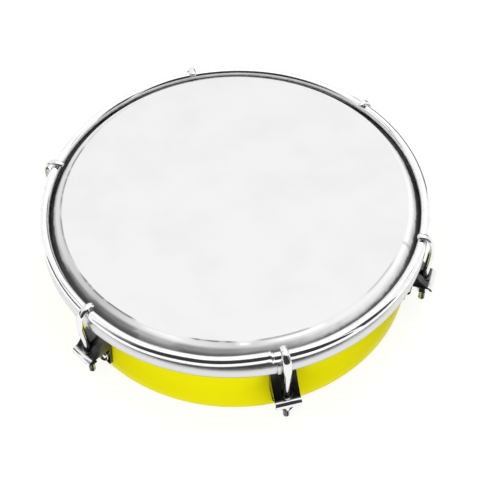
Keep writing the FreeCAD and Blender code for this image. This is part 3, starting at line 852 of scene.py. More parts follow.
def piece_from(name: str, mesh: bmesh.types.BMesh, finish: Finish, sharp: float = 35.0,
               place: Matrix | None = None) -> bpy.types.Object:
    """Make an object from a mesh in millimetres.

    Args:
        name: Name of the piece.
        mesh: The mesh, which is freed.
        finish: The piece's finish.
        sharp: Angle in degrees past which an edge stays sharp.
        place: Where the piece goes, in millimetres.

    Returns:
        The object, its place in its mesh.
    """
    bmesh.ops.transform(mesh, matrix=Matrix.Scale(MM, 4) @ (place or Matrix.Identity(4)),
                        verts=mesh.verts)
    item = add_object(name, mesh, finish.material())
    shade(item, sharp)
    return item


def settle(item: bpy.types.Object) -> None:
    """Apply an object's modifiers to its mesh.

    Args:
        item: The object.
    """
    bpy.context.view_layer.update()
    graph = bpy.context.evaluated_depsgraph_get()
    data = bpy.data.meshes.new_from_object(item.evaluated_get(graph), depsgraph=graph)
    item.modifiers.clear()
    old = item.data
    item.data = data
    bpy.data.meshes.remove(old)


def combine(item: bpy.types.Object, tools: Sequence[bpy.types.Object], join: Join) -> None:
    """Combine an object with others, which are used up.

    Args:
        item: The object that stays.
        tools: The objects that cut it or are added to it.
        join: How they are combined.
    """
    for tool in tools:
        change = item.modifiers.new(join.value.lower(), "BOOLEAN")
        change.operation = join.value
        change.solver = "EXACT"
        change.object = tool
        settle(item)
        bpy.data.objects.remove(tool)


def merge(item: bpy.types.Object, other: bpy.types.Object) -> None:
    """Put another object's mesh into this one's, as one piece.

    Args:
        item: The object that stays.
        other: The object that is used up.
    """
    mesh = bmesh.new()
    mesh.from_mesh(item.data)
    mesh.from_mesh(other.data)
    mesh.to_mesh(item.data)
    mesh.free()
    bpy.data.objects.remove(other)


def soften(item: bpy.types.Object, width: float, segments: int = 2) -> bpy.types.Object:
    """Bevel an object's sharp edges and shade it smoothly.

    Args:
        item: The object.
        width: Bevel width in millimetres.
        segments: Bevel segments.

    Returns:
        The object.
    """
    bevelled_past, sharp_past = 35.0, 50.0
    change = item.modifiers.new("soften", "BEVEL")
    change.width = width * MM
    change.segments = segments
    change.limit_method = "ANGLE"
    change.angle_limit = math.radians(bevelled_past)
    change.harden_normals = False
    settle(item)
    shade(item, sharp_past)
    return item


def stand(item: bpy.types.Object, body: str, slot: Slot, *nodes: str) -> None:
    """Make a finished piece stand for CAD nodes and ride on a body.

    Args:
        item: The piece.
        body: Name of the body.
        slot: Material slot of the record; not used.
        nodes: CAD nodes that the piece replaces.
    """
    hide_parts(*nodes)
    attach(item, body)
    log.info("%s rides on %s", item.name, body)


def dress_node(node: str, finish: Finish) -> None:
    """Give a CAD node that keeps its mesh a finish.

    Args:
        node: Name of the node.
        finish: The finish that its slots take.
    """
    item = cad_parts[node]
    if not item.data.materials:
        item.data.materials.append(finish.material())
    for slot in item.material_slots:
        slot.material = finish.material()
    log.info("%s keeps its mesh and takes %s", node, finish.name)


# Sub-assemblies


@dataclass
class Shell:
    """Moulded shell with a rounded bearing edge and six screw holes."""

    outer_radius: float = SHELL_RADIUS
    wall: float = 4.0
    height: float = 44.1
    edge_round: float = 2.5
    edge_bevel: float = 1.0
    foot_round: float = 0.8
    foot_turn: float = -70.0
    foot_bevel: float = 0.4
    rows: tuple[float, ...] = (0.1, 0.3, 0.5, 0.7, 0.85)
    # How far the drills reach in and out from the inner face
    drill_reach: Pair = (-4.0, 8.0)
    sharp: float = 40.0
    segments: int = 288

    def profile(self) -> list[Pair]:
        """Section of the wall, with extra points up both faces.

        Returns:
            Points of radius and height.
        """
        outer, inner, top = self.outer_radius, self.outer_radius - self.wall, self.height
        levels = [top * share for share in self.rows]
        return [
            (inner + self.foot_bevel, 0.0), (outer - self.foot_round, 0.0),
            *arc((outer - self.foot_round, self.foot_round), self.foot_round, self.foot_turn, 0, 4),
            *[(outer, level) for level in levels],
            *arc((outer - self.edge_round, top - self.edge_round), self.edge_round, 0, 90, 10),
            (inner + self.edge_bevel, top), (inner, top - self.edge_bevel),
            *[(inner, level) for level in reversed(levels)], (inner, self.foot_bevel)]

    def build(self) -> None:
        """Turn the wall and drill it."""
        item = piece_from("drum_shell", lathe(self.profile(), self.segments), SHELL_FINISH, self.sharp)
        bore = outward(self.outer_radius - self.wall, SCREW_LEVEL)
        drills = [piece_from(f"drill_{number}", rod(SCREW_HOLE_RADIUS, *self.drill_reach), SHELL_FINISH,
                             place=spin(tuner_angle(number)) @ bore)
                  for number in range(1, TUNER_COUNT + 1)]
        combine(item, drills, Join.CUT)
        shade(item, self.sharp)
        stand(item, Body.ROOT.value, Slot.SHELL, "shell")


@dataclass
class Head:
    """Head film: flat disc, shoulder over the bearing edge and a drawn collar with folds."""

    thickness: float = 0.2
    under: float = 44.15
    edge_centre: Pair = (73.7, 41.6)
    inner_bend: float = 2.55
    end: Pair = (RING_RADIUS, 34.2)
    rows: tuple[float, ...] = (0.0, 0.25, 0.5, 0.7, 0.85, 0.93, 0.965, 0.985)
    shoulder_steps: int = 14
    skirt_steps: int = 26
    segments: int = 720
    sharp: float = 60.0
    crease: float = 0.12
    crease_radius: float = 73.2
    crease_width: float = 0.55
    # The crease's noise: its mean, then waves round the drum and how strong they are
    crease_mean: float = 0.6
    crease_waves: tuple[Pair, ...] = ((9.0, 1.0), (40.0, 0.5))
    fold: float = 0.34
    fold_start: float = 1.2
    fold_mean: float = 0.25
    fold_swell: float = 0.8
    # Waves round the drum, their strength, their place in the noise and their twist down the collar
    fold_waves: tuple[tuple[float, float, float, float], ...] = (
        (5.0, 1.0, 0.0, 0.9), (17.0, 0.55, 3.0, 1.6), (60.0, 0.22, 7.0, 2.4))

    def lean(self) -> float:
        """Work out the collar's angle from the vertical.

        Returns:
            The angle in degrees.
        """
        run = self.end[0] - self.edge_centre[0]
        fall = self.edge_centre[1] - self.end[1]
        reach = math.hypot(run, fall)
        return math.degrees(math.acos(self.inner_bend / reach) - math.atan(fall / run))

    def face(self, offset: float) -> list[Pair]:
        """One face of the film from the centre out.

        Args:
            offset: How far the face lies outside the film's inner face.

        Returns:
            Points of radius and height.
        """
        lean = self.lean()
        tilt = math.radians(lean)
        flat = [(share * self.edge_centre[0], self.under + offset) for share in self.rows]
        shoulder = arc(self.edge_centre, self.inner_bend + offset, 90.0, lean, self.shoulder_steps)
        start = shoulder[-1]
        finish = (self.end[0] + offset * math.cos(tilt), self.end[1] + offset * math.sin(tilt))
        shares = (step / self.skirt_steps for step in range(1, self.skirt_steps + 1))
        skirt = [(start[0] + (finish[0] - start[0]) * share, start[1] + (finish[1] - start[1]) * share)
                 for share in shares]
        return flat + shoulder + skirt

    def warp(self, radius: float, height: float, angle: float) -> Pair:
        """Raise the crease and lay irregular folds in the collar.

        Args:
            radius: Radius of a point of the even film.
            height: Its height.
            angle: Its angle in degrees.

        Returns:
            Where the point goes.
        """
        spot = polar(1.0, math.radians(angle), 0.0)
        share = (self.edge_centre[1] + self.fold_start - height) / (self.edge_centre[1] - self.end[1])
        if share <= 0.0:
            ripple = sum(strength * noise.noise(spot * waves) for waves, strength in self.crease_waves)
            ridge = self.crease * bell(radius, self.crease_radius, self.crease_width)
            return radius, height + max(ridge * (self.crease_mean + ripple), 0.0)
        wave = sum(strength * noise.noise(spot * waves + Vector((aside, 0, share * twist)))
                   for waves, strength, aside, twist in self.fold_waves)
        swell = math.sin(math.pi * min(share, 1.0)) ** self.fold_swell
        push = self.fold * swell * (wave + self.fold_mean)
        tilt = math.radians(self.lean())
        return radius + push * math.cos(tilt), height + push * math.sin(tilt)

    def build(self) -> None:
        """Turn the film as one closed skin, its collar running out to the hoop."""
        profile = [*reversed(self.face(0.0)), *self.face(self.thickness)]
        item = piece_from("head_skin", lathe(profile, self.segments, self.warp), HEAD_FINISH, self.sharp)
        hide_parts("head_film")
        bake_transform(item)
        log.info("%s bends between the shell and the hoop", item.name)


@dataclass
class FleshHoop:
    """Rolled aluminium channel with a sleeve over its joint."""

    inner_radius: float = 79.4
    width: float = 3.7
    bottom: float = 32.2
    height: float = 7.1
    sheet: float = 0.7
    inner_height: float = 2.6
    # Bevels of the inner wall, at its foot and at its top
    inner_bevels: Pair = (0.25, 0.1)
    rounding: float = 1.7
    crown_width: float = 2.9
    crown_height: float = 4.2
    crown_flat: float = 1.2
    crown_steps: int = 20
    lip_angle: float = 91.0
    sleeve_length: float = 1.7
    sleeve_proud: float = 0.42
    sleeve_edge: float = 0.9
    sleeve_round: float = 0.14
    seam_gap: float = 0.45
    seam_width: float = 0.35
    seam_bottom: float = 0.4
    seam_past: float = 1.0
    joint_angle: float = -91.7
    sway: float = 0.05
    sway_waves: float = 4.0
    sway_level: float = 0.3
    sharp: float = 50.0
    joined_sharp: float = 45.0
    segments: int = 480

    @property
    def outer(self) -> float:
        """Radius of the channel's outer face."""
        return self.inner_radius + self.width

    @property
    def top(self) -> float:
        """Level of the channel's crown."""
        return self.bottom + self.height

    def profile(self) -> list[Pair]:
        """Section of the channel.

        Returns:
            Points of radius and height, up the outside and down the inside.
        """
        inner, low, sheet = self.inner_radius, self.bottom, self.sheet
        wide, narrow = self.inner_bevels
        bend = (self.outer - self.rounding, low + self.rounding)
        wall_top = low + self.inner_height
        return [
            (inner, low + wide), (inner + wide, low),
            *arc(bend, self.rounding, -90, 0, 8), *self.crown(0.0, 0.0, self.lip_angle),
            *self.crown(sheet, self.lip_angle, 0.0), *arc(bend, self.rounding - sheet, 0, -90, 6),
            (inner + sheet, low + sheet), (inner + sheet, wall_top - narrow),
            (inner + sheet - narrow, wall_top), (inner + narrow, wall_top), (inner, wall_top - narrow)]

    def crown(self, depth: float, start: float, end: float) -> list[Pair]:
        """Rolled upper half of the channel.

        Args:
            depth: How far under the outer face.
            start: First angle of the roll in degrees.
            end: Last angle of the roll in degrees.

        Returns:
            Points of the roll.
        """
        across, up = self.crown_width, self.crown_height
        points = []
        for step in range(self.crown_steps + 1):
            turn = math.radians(start + (end - start) * step / self.crown_steps)
            out = math.copysign(abs(math.cos(turn)) ** self.crown_flat, math.cos(turn))
            points.append((self.outer - across + (across - depth) * out,
                           self.top - up + (up - depth) * math.sin(turn) ** self.crown_flat))
        return points

    def uneven(self, radius: float, height: float, angle: float) -> Pair:
        """Move a point as far as the rolling leaves the ring out of true there.

        Args:
            radius: Radius of a point of the true ring.
            height: Its height.
            angle: Its angle in degrees.

        Returns:
            Where the point goes.
        """
        spot = polar(1.0, math.radians(angle), self.sway_level)
        sway = self.sway * noise.noise(spot * self.sway_waves)
        return radius + sway, height + sway

    def seam(self) -> bpy.types.Object:
        """Make the cutter for the shallow gap that the joint leaves beside the sleeve.

        Returns:
            The cutter.
        """
        left = -self.sleeve_length / 2 - self.seam_gap
        block = slab(self.outer - self.sheet / 2, self.outer + self.seam_past,
                     self.bottom + self.seam_bottom, self.top, (left, left + self.seam_width))
        return piece_from("flesh_seam", block, ALUMINIUM_FINISH, place=spin(self.joint_angle))

    def sleeve(self) -> bpy.types.Object:
        """Press a short sleeve over the joint.

        Returns:
            The sleeve.
        """
        half = self.sleeve_length / 2
        block = slab(self.outer - self.sheet / 2, self.outer + self.sleeve_proud,
                     self.bottom + self.sleeve_edge, self.top - self.sleeve_edge, (-half, half))
        item = piece_from("flesh_sleeve", block, ALUMINIUM_FINISH, place=spin(self.joint_angle))
        return soften(item, self.sleeve_round, 3)

    def build(self) -> None:
        """Turn the channel and press the sleeve on it."""
        item = piece_from("flesh_ring", lathe(self.profile(), self.segments, self.uneven),
                          ALUMINIUM_FINISH, self.sharp)
        combine(item, [self.seam()], Join.CUT)
        combine(item, [self.sleeve()], Join.ADD)
        shade(item, self.joined_sharp)
        stand(item, Body.HOOP.value, Slot.ALUMINIUM, "flesh_hoop")


@dataclass
class CounterHoop:
    """Round rod bent into a ring, not quite true near its weld."""

    rod_radius: float = 2.15
    ring_radius: float = RING_RADIUS
    level: float = RING_LEVEL
    # How far the ring draws in at the weld, and over how many degrees, on each side of it
    drawn_before: Pair = (0.95, 20.0)
    drawn_after: Pair = (0.32, 14.0)
    drawn_lift: float = 0.25
    # How far it stands out and in further round: by how much, where, and over how many degrees
    bulge: Triple = (0.42, -38.0, 10.0)
    flat: Triple = (0.32, 165.0, 38.0)
    sway: float = 0.12
    sway_waves: float = 3.0
    sway_level: float = 0.7
    weld_angle: float = -93.8
    weld_length: float = 1.8
    weld_proud: float = 0.22
    # The bead's lumps: their mean, their strength and how close they follow one another
    weld_lumps: Triple = (0.65, 0.5, 1.3)
    lump_spread: float = 2.0
    neck_depth: float = 0.10
    neck_place: float = 0.72
    neck_width: float = 0.5
    weld_reach: float = 2.6
    weld_steps: int = 30
    steps_per_degree: float = 12.0
    sharp: float = 60.0
    segments: int = 720
    around: int = 40

    def gap(self, angle: float) -> float:
        """Degrees from the weld to an angle, from -180 to 180."""
        return (angle - self.weld_angle + 180.0) % 360.0 - 180.0

    def centre(self, angle: float) -> Pair:
        """Find where the rod's middle runs.

        Args:
            angle: Angle round the drum in degrees.

        Returns:
            Radius and level of the middle.
        """
        gap = self.gap(angle)
        depth, span = self.drawn_before if gap <= 0 else self.drawn_after
        drawn = depth * smooth((span - abs(gap)) / span)
        bulge, bulge_place, bulge_width = self.bulge
        flat, flat_place, flat_width = self.flat
        spot = polar(1.0, math.radians(angle), self.sway_level)
        sway = self.sway * noise.noise(spot * self.sway_waves)
        out = bulge * bell(gap, bulge_place, bulge_width) + sway
        inward = flat * bell(angle % 360.0, flat_place, flat_width)
        return self.ring_radius - drawn + out - inward, self.level + self.drawn_lift * drawn

    def thickness(self, angle: float, side: float) -> float:
        """Radius of the rod, which the weld's bead makes lumpy.

        Args:
            angle: Angle round the drum in degrees.
            side: Angle round the rod in radians.

        Returns:
            The radius.
        """
        gap = self.gap(angle) * math.radians(1) * self.ring_radius
        mean, strength, waves = self.weld_lumps
        lump = mean + strength * noise.noise(Vector((
            gap * waves, math.cos(side) * self.lump_spread, math.sin(side) * self.lump_spread)))
        bead = self.weld_proud * bell(gap, 0.0, self.weld_length / 2, 4) * lump
        neck = self.neck_depth * bell(abs(gap), self.weld_length * self.neck_place, self.neck_width)
        return self.rod_radius + bead - neck

    def build(self) -> None:
        """Sweep the rod round the drum, finer at the weld."""
        even = [360.0 * step / self.segments for step in range(self.segments)]
        weld = [self.weld_angle + step / self.steps_per_degree
                for step in range(-self.weld_steps, self.weld_steps + 1)]
        apart = [angle for angle in even if abs(self.gap(angle)) > self.weld_reach]
        mesh = bmesh.new()
        loops = []
        for angle in sorted(angle % 360.0 for angle in apart + weld):
            radius, level = self.centre(angle)
            loop = []
            for place in range(self.around):
                side = 2 * math.pi * place / self.around
                thick = self.thickness(angle, side)
                loop.append(mesh.verts.new(polar(radius + thick * math.cos(side), math.radians(angle),
                                                 level + thick * math.sin(side))))
            loops.append(loop)
        weave(mesh, loops, ring=True)
        bmesh.ops.recalc_face_normals(mesh, faces=mesh.faces)
        item = piece_from("counter_ring", mesh, HOOP_FINISH, self.sharp)
        stand(item, Body.HOOP.value, Slot.HOOP, "counter_hoop")


@dataclass
class Hook:
    """Threaded rod that leans out and flattens into a claw over the counter hoop."""

    shoulder_radius: float
    claw_reach: float
    axis_radius: float = ROD_AXIS_RADIUS
    rod_radius: float = 1.45
    rod_end: float = 3.6
    rod_chamfer: float = 0.4
    thread_top: float = 18.2
    pitch: float = 0.5
    lean_start: float = 18.7
    lean_end: float = 36.3
    lean_steps: int = 28
    flare_start: float = 34.5
    claw_start: float = 38.4
    claw_level: float = 44.55
    claw_wrap: float = 46.0
    claw_square: float = 0.97
    claw_steps: int = 16
    wrap_steps: int = 8
    claw_thickness: float = 1.7
    claw_width: float = 3.0
    claw_bulge: float = 3.6
    claw_run: float = 24.0
    tip_least: float = 0.08
    tip_backs: tuple[float, ...] = (0.6, 0.35, 0.15, 0.05, 0.0)
    ring_radius: float = RING_RADIUS
    shadow_ring_level: float = RING_LEVEL
    sharp: float = 50.0
    segments: int = 28

    def line(self) -> list[Pair]:
        """Centre line above the thread.

        Returns:
            Points of radius and height: the lean, the shoulder and the claw over the ring.
        """
        rise = self.claw_start - self.thread_top
        levels = [self.thread_top + rise * step / self.lean_steps
                  for step in range(1, self.lean_steps + 1)]
        points = [(self.axis_radius + (self.shoulder_radius - self.axis_radius)
                   * smooth((level - self.lean_start) / (self.lean_end - self.lean_start)), level)
                  for level in levels]
        across = self.shoulder_radius - self.ring_radius
        up = self.claw_level - self.claw_start
        for step in range(1, self.claw_steps + 1):
            turn = math.radians(90.0 * step / self.claw_steps)
            points.append((self.ring_radius + across * math.cos(turn) ** self.claw_square,
                           self.claw_start + up * math.sin(turn) ** self.claw_square))
        centre = (self.ring_radius - self.claw_reach, self.shadow_ring_level)
        points.append((centre[0], self.claw_level))
        return points + arc(centre, self.claw_level - self.shadow_ring_level, 90.0, 90.0 + self.claw_wrap,
                            self.wrap_steps)[1:]

    def spine(self) -> list[tuple[float, float, float, float]]:
        """Centre line with what its rings need, crowded towards the tip.

        Returns:
            Radius, height, heading in degrees from the radius, and length run, per ring.
        """
        points = self.line()
        entries = []
        run = 0.0
        for place, point in enumerate(points):
            before = points[max(place - 1, 0)]
            after = points[min(place + 1, len(points) - 1)]
            run += math.dist(before, point)
            heading = math.degrees(math.atan2(after[1] - before[1], after[0] - before[0]))
            entries.append((*point, heading, run))
        tips = [run - back for back in self.tip_backs]
        rings = [entry for entry in entries if entry[3] < tips[0]]
        for tip in tips:
            later = next(entry for entry in entries if entry[3] >= tip - TINY)
            earlier = [entry for entry in entries if entry[3] < tip][-1]
            share = (tip - earlier[3]) / max(later[3] - earlier[3], TINY)
            rings.append(tuple(a + (b - a) * share for a, b in zip(earlier, later)))
        return rings

    def section(self, level: float, run: float, length: float) -> Pair:
        """Measure the hook's section at a place on its spine.

        Args:
            level: Height of the place.
            run: Length run up to it.
            length: Length of the whole spine.

        Returns:
            Half thickness and half width.
        """
        stem = self.claw_start - self.thread_top
        flare = smooth((level - self.flare_start) / (self.claw_start - self.flare_start))
        taper = smooth(max(run - stem, 0.0) / max(length - stem, TINY))
        width = self.rod_radius + (self.claw_bulge / 2 - self.rod_radius) * flare
        width += (self.claw_width / 2 - self.claw_bulge / 2) * taper
        thick = self.rod_radius + (self.claw_thickness / 2 - self.rod_radius) * flare
        tip = length - run
        if tip >= thick:
            return thick, width
        crown = max(math.sqrt(max(1.0 - (1.0 - tip / thick) ** 2, 0.0)), self.tip_least)
        return thick * crown, (width - thick) + thick * crown

    def build(self, number: int, angle: float) -> None:
        """Skin one hook and turn it to its tuner.

        Args:
            number: Number of the tuner.
            angle: Its angle round the drum.
        """
        rings = [[point + Vector((self.axis_radius, 0, 0)) for point in ring]
                 for ring in threaded_rings(self.rod_radius, self.rod_end, self.thread_top,
                                            self.pitch, self.rod_chamfer, self.segments)]
        spine = self.spine()
        for radius, level, heading, run in spine:
            thick, width = self.section(level if run < self.claw_run else self.claw_start, run,
                                        spine[-1][3])
            tilt = math.radians(heading - 90.0)
            out, side = Vector((math.cos(tilt), 0.0, math.sin(tilt))), Vector((0.0, 1.0, 0.0))
            turns = [2 * math.pi * place / self.segments for place in range(self.segments)]
            rings.append([Vector((radius, 0.0, level)) + out * (thick * math.cos(turn))
                          + side * (width * math.sin(turn)) for turn in turns])
        item = piece_from(f"claw_hook_{number}", skin(rings), TUNER_FINISH, self.sharp, spin(angle))
        stand(item, Body.HOOK.at(number), Slot.TUNER, f"hook_{number}")


@dataclass
class Bracket:
    """Pressed bracket: plate on the shell, shelf with a collared rod hole, turned-down lip."""

    sheet: float = 1.2
    width: float = 10.8
    plate_back: float = SHELL_RADIUS + FIT_GAP
    plate_bottom: float = 3.5
    plate_top: float = 30.6
    corner: float = 1.6
    corner_steps: int = 6
    shelf_top: float = 18.3
    lip_face: float = 88.85
    lip_drop: float = 2.3
    lip_bevel: float = 0.3
    lip_turn: float = -12.0
    bend: float = 1.0
    root: float = 0.8
    # How far the ramp runs out and up, and how hollow it is from 0 to 1
    web: Pair = (8.6, 12.0)
    hollow: float = 0.25
    ramp_steps: int = 16
    foot_width: float = 7.4
    edge_round: float = 0.22
    hole_radius: float = 1.75
    # How far the rod's drill runs past the shelf, below and above
    hole_past: Pair = (2.0, 6.0)
    collar_wall: float = 1.0
    collar_height: float = 1.4
    collar_sunk: float = 0.2
    # How far the screw's drill reaches in and out from the plate's back
    screw_reach: Pair = (-1.0, 3.0)

    def profile(self) -> list[Pair]:
        """Side view of the pressed sheet.

        Returns:
            Points of radius and height, from the plate's foot round the lip to its top.
        """
        back, face = self.plate_back, self.plate_back + self.sheet
        under, top = self.shelf_top - self.sheet, self.shelf_top
        lip_back, lip_end = self.lip_face - self.sheet, self.shelf_top - self.lip_drop
        outer_bend = self.bend + self.sheet
        return [
            (back, self.plate_bottom), (face, self.plate_bottom),
            *arc((face + self.root, under - self.root), self.root, 180, 90, 5),
            *arc((lip_back - self.bend, under - self.bend), self.bend, 90, 0, 4),
            (lip_back, lip_end), (self.lip_face - self.lip_bevel, lip_end),
            *arc((self.lip_face - outer_bend, top - outer_bend), outer_bend, self.lip_turn, 90, 10),
            *self.ramp(face, top), (face, self.plate_top), (back, self.plate_top)]

    def ramp(self, face: float, top: float) -> list[Pair]:
        """Hollow ramp from the shelf up to the plate.

        Args:
            face: Radius of the plate's outer face.
            top: Level of the shelf.

        Returns:
            Points from the shelf up.
        """
        across, up = self.web
        points = []
        for step in range(self.ramp_steps + 1):
            share = step / self.ramp_steps
            turn = math.pi / 2 * share
            out = (1 - math.sin(turn)) * self.hollow + (1 - share) * (1 - self.hollow)
            rise = (1 - math.cos(turn)) * self.hollow + share * (1 - self.hollow)
            points.append((face + across * out, top + up * rise))
        return points

    def blank(self) -> bmesh.types.BMesh:
        """The sheet with its plate's corners rounded and its foot tapered.

        Returns:
            The mesh, before its collar and its holes.
        """
        half = self.width / 2
        mesh = prism(self.profile(), -half, half)
        ends = (self.plate_bottom, self.plate_top)
        corners = [
            edge for edge in mesh.edges
            if all(abs(abs(v.co.y) - half) < TINY and min(abs(v.co.z - end) for end in ends) < TINY
                   for v in edge.verts) and abs(edge.verts[0].co.x - edge.verts[1].co.x) > TINY]
        bmesh.ops.bevel(mesh, geom=corners, offset=self.corner, segments=self.corner_steps, profile=0.5,
                        affect="EDGES")
        level = self.shelf_top - self.sheet - self.root
        for point in mesh.verts:
            if point.co.x < self.plate_back + self.sheet + TINY and point.co.z < level:
                share = (level - point.co.z) / (level - self.plate_bottom)
                point.co.y *= 1.0 + share * (self.foot_width / self.width - 1.0)
        return mesh

    def build(self, number: int, angle: float) -> None:
        """Press, collar and drill one bracket.

        Args:
            number: Number of the tuner.
            angle: Its angle round the drum.
        """
        turn = spin(angle)
        at_rod = turn @ Matrix.Translation((ROD_AXIS_RADIUS, 0, 0))
        at_screw = turn @ outward(self.plate_back, SCREW_LEVEL)
        under, top = self.shelf_top - self.sheet, self.shelf_top
        below, above = self.hole_past
        collar = rod(self.hole_radius + self.collar_wall, under + self.collar_sunk, top + self.collar_height)
        hole = rod(self.hole_radius, under - below, top + above)
        screw_hole = rod(SCREW_HOLE_RADIUS, *self.screw_reach)
        item = piece_from(f"lug_bracket_{number}", self.blank(), BRACKET_FINISH, place=turn)
        combine(item, [piece_from("collar", collar, BRACKET_FINISH, place=at_rod)], Join.ADD)
        combine(item, [piece_from("hole", hole, BRACKET_FINISH, place=at_rod),
                       piece_from("screw_hole", screw_hole, BRACKET_FINISH, place=at_screw)], Join.CUT)
        soften(item, self.edge_round, 3)
        stand(item, Body.ROOT.value, Slot.TUNER, f"bracket_{number}")


@dataclass
class HexNut:
    """Chamfered hexagon nut along Z, its corners turned down a little."""

    across_flats: float
    length: float
    bore: float
    chamfer: float = 0.4
    chamfer_rise: float = 0.24
    corner_loss: float = 0.15
    countersink: float = 0.35
    past: float = 0.5
    edge_round: float = 0.12
    segments: int = 60
    drill_segments: int = 40

    def make(self, name: str, finish: Finish, place: Matrix) -> bpy.types.Object:
        """Cut the hexagon from a chamfered bar and bore it with a countersink.

        Args:
            name: Name of the piece.
            finish: The nut's finish.
            place: Where the nut's lower face and axis go.

        Returns:
            The nut.
        """
        corner = self.across_flats / math.sqrt(3)
        wide, rise, length = corner - self.corner_loss, self.chamfer_rise, self.length
        blank = lathe([(0.0, 0.0), (wide - self.chamfer, 0.0), (wide, rise), (wide, length - rise),
                       (wide - self.chamfer, length), (0.0, length)], self.segments)
        hexagon = skin([circle(corner, level, 6) for level in (-2 * self.past, length + 2 * self.past)])
        mouth, sink = self.bore + self.countersink + self.past, self.countersink
        drill = lathe([(0.0, -self.past), (mouth, -self.past), (self.bore, sink),
                       (self.bore, length - sink), (mouth, length + self.past),
                       (0.0, length + self.past)], self.drill_segments)
        item = piece_from(name, blank, finish, place=place)
        combine(item, [piece_from("hexagon", hexagon, finish, place=place)], Join.KEEP)
        combine(item, [piece_from("drill", drill, finish, place=place)], Join.CUT)
        return soften(item, self.edge_round)


@dataclass
class PanScrew:
    """Pan-head screw with a cross recess and a threaded end."""

    radius: float = 2.0
    head_radius: float = 3.6
    head_height: float = 2.2
    head_round: float = 1.3
    head_crown: float = 0.12
    head_turn: float = 82.0
    head_segments: int = 64
    crown_rows: tuple[float, ...] = (0.0, 0.35, 0.7)
    # Length and width of the recess's arms
    recess: Pair = (3.8, 0.9)
    recess_depth: float = 1.2
    recess_base: float = 0.45
    recess_past: float = 0.6
    edge_round: float = 0.1
    length: float = 10.5
    thread_pitch: float = 0.7
    chamfer: float = 0.4
    overlap: float = 0.05
    shank_sharp: float = 50.0
    shank_segments: int = 28

    def make(self, name: str, place: Matrix, twist: float) -> bpy.types.Object:
        """Turn one screw, its seat at the origin and its head along +Z.

        Args:
            name: Name of the piece.
            place: Where the seat goes.
            twist: How far the recess is turned, in degrees.

        Returns:
            The screw.
        """
        top, wide = self.head_height, self.head_radius
        flat = wide - self.head_round
        crown = [(flat * share, top - self.head_crown * share * share) for share in self.crown_rows]
        rounding = arc((flat, top - self.head_round - self.head_crown), self.head_round,
                       self.head_turn, 0, 10)
        head = lathe([(0.0, 0.0), (wide, 0.0), *reversed(rounding), *reversed(crown)], self.head_segments)
        item = piece_from(name, head, TUNER_FINISH, place=place)
        levels = ((top - self.recess_depth, self.recess_base), (top + self.recess_past, 1.0))
        for long, short in (self.recess, self.recess[::-1]):
            corners = [(-long / 2, -short / 2), (long / 2, -short / 2), (long / 2, short / 2),
                       (-long / 2, short / 2)]
            slot = skin([[Vector((x * share, y * share, level)) for x, y in corners]
                         for level, share in levels])
            combine(item, [piece_from("recess", slot, TUNER_FINISH, place=place @ spin(twist))], Join.CUT)
        soften(item, self.edge_round)
        rings = threaded_rings(self.radius, 0.0, self.length, self.thread_pitch, self.chamfer,
                               self.shank_segments)
        lift = Matrix.Translation((0, 0, self.overlap - self.length))
        merge(item, piece_from("shank", skin(rings), TUNER_FINISH, self.shank_sharp, place @ lift))
        return item


@dataclass
class Tuner:
    """One tuner: bracket, hook, tuning nut, and the screw, washer and nut of the bracket."""

    number: int
    bracket: Bracket = field(default_factory=Bracket)
    tuning_nut: HexNut = field(default_factory=lambda: HexNut(5.5, 6.5, 1.5))
    lug_nut: HexNut = field(default_factory=lambda: HexNut(7.0, 3.2, 2.05))
    screw: PanScrew = field(default_factory=PanScrew)
    # Per tuner: how far out its hook's shoulder stands, and how far its claw reaches in
    seats: tuple[Pair, ...] = ((85.9, 0.9), (85.7, 0.0), (85.0, 0.3), (86.4, 0.5), (86.4, 1.4), (85.9, 0.7))
    washer_face: float = 72.059
    washer_thickness: float = 0.8
    first_twist: float = 48.0
    twist_step: float = 31.0

    def build(self) -> None:
        """Build every piece of the tuner and dress the washer, which keeps its CAD mesh."""
        number, bracket, angle = self.number, self.bracket, tuner_angle(self.number)
        turn = spin(angle)
        bracket.build(number, angle)
        hook = Hook(*self.seats[number - 1])
        hook.build(number, angle)
        level = bracket.shelf_top - bracket.sheet - FIT_GAP - self.tuning_nut.length
        nut = self.tuning_nut.make(f"long_nut_{number}", TUNER_FINISH,
                                   turn @ Matrix.Translation((hook.axis_radius, 0, level)))
        stand(nut, Body.NUT.at(number), Slot.TUNER, f"tuning_nut_{number}")
        seat = turn @ outward(bracket.plate_back + bracket.sheet, SCREW_LEVEL)
        twist = self.first_twist + self.twist_step * (number - 1)
        screw = self.screw.make(f"pan_screw_{number}", seat, twist)
        stand(screw, Body.ROOT.value, Slot.TUNER, f"lug_screw_{number}")
        inside = self.washer_face - self.washer_thickness - self.lug_nut.length
        nut = self.lug_nut.make(f"inner_nut_{number}", STEEL_FINISH, turn @ outward(inside, SCREW_LEVEL))
        stand(nut, Body.ROOT.value, Slot.STEEL, f"lug_nut_{number}")
        dress_node(f"lug_washer_{number}", STEEL_FINISH)


# Studio


@dataclass(frozen=True)
class WhitePaper(Finish):
    """Paper under the drum, white where it is seen and darker where it is lit."""

    lit: Colour = (0.28, 0.28, 0.28)
    glow: float = 0.77

    def paint(self, graph: Graph) -> None:
        """Let the paper take shadows and glow in the picture.

        Args:
            graph: The material's tree.
        """
        paper = graph.add("ShaderNodeBsdfDiffuse", {}, {"Color": self.lit})
        strength = graph.backdrop() * self.glow
        glow = graph.add("ShaderNodeEmission", {}, {"Color": WHITE, "Strength": strength})
        both = graph.add("ShaderNodeAddShader", {}, {0: paper, 1: glow})
        graph.add("ShaderNodeOutputMaterial", {}, {"Surface": both})


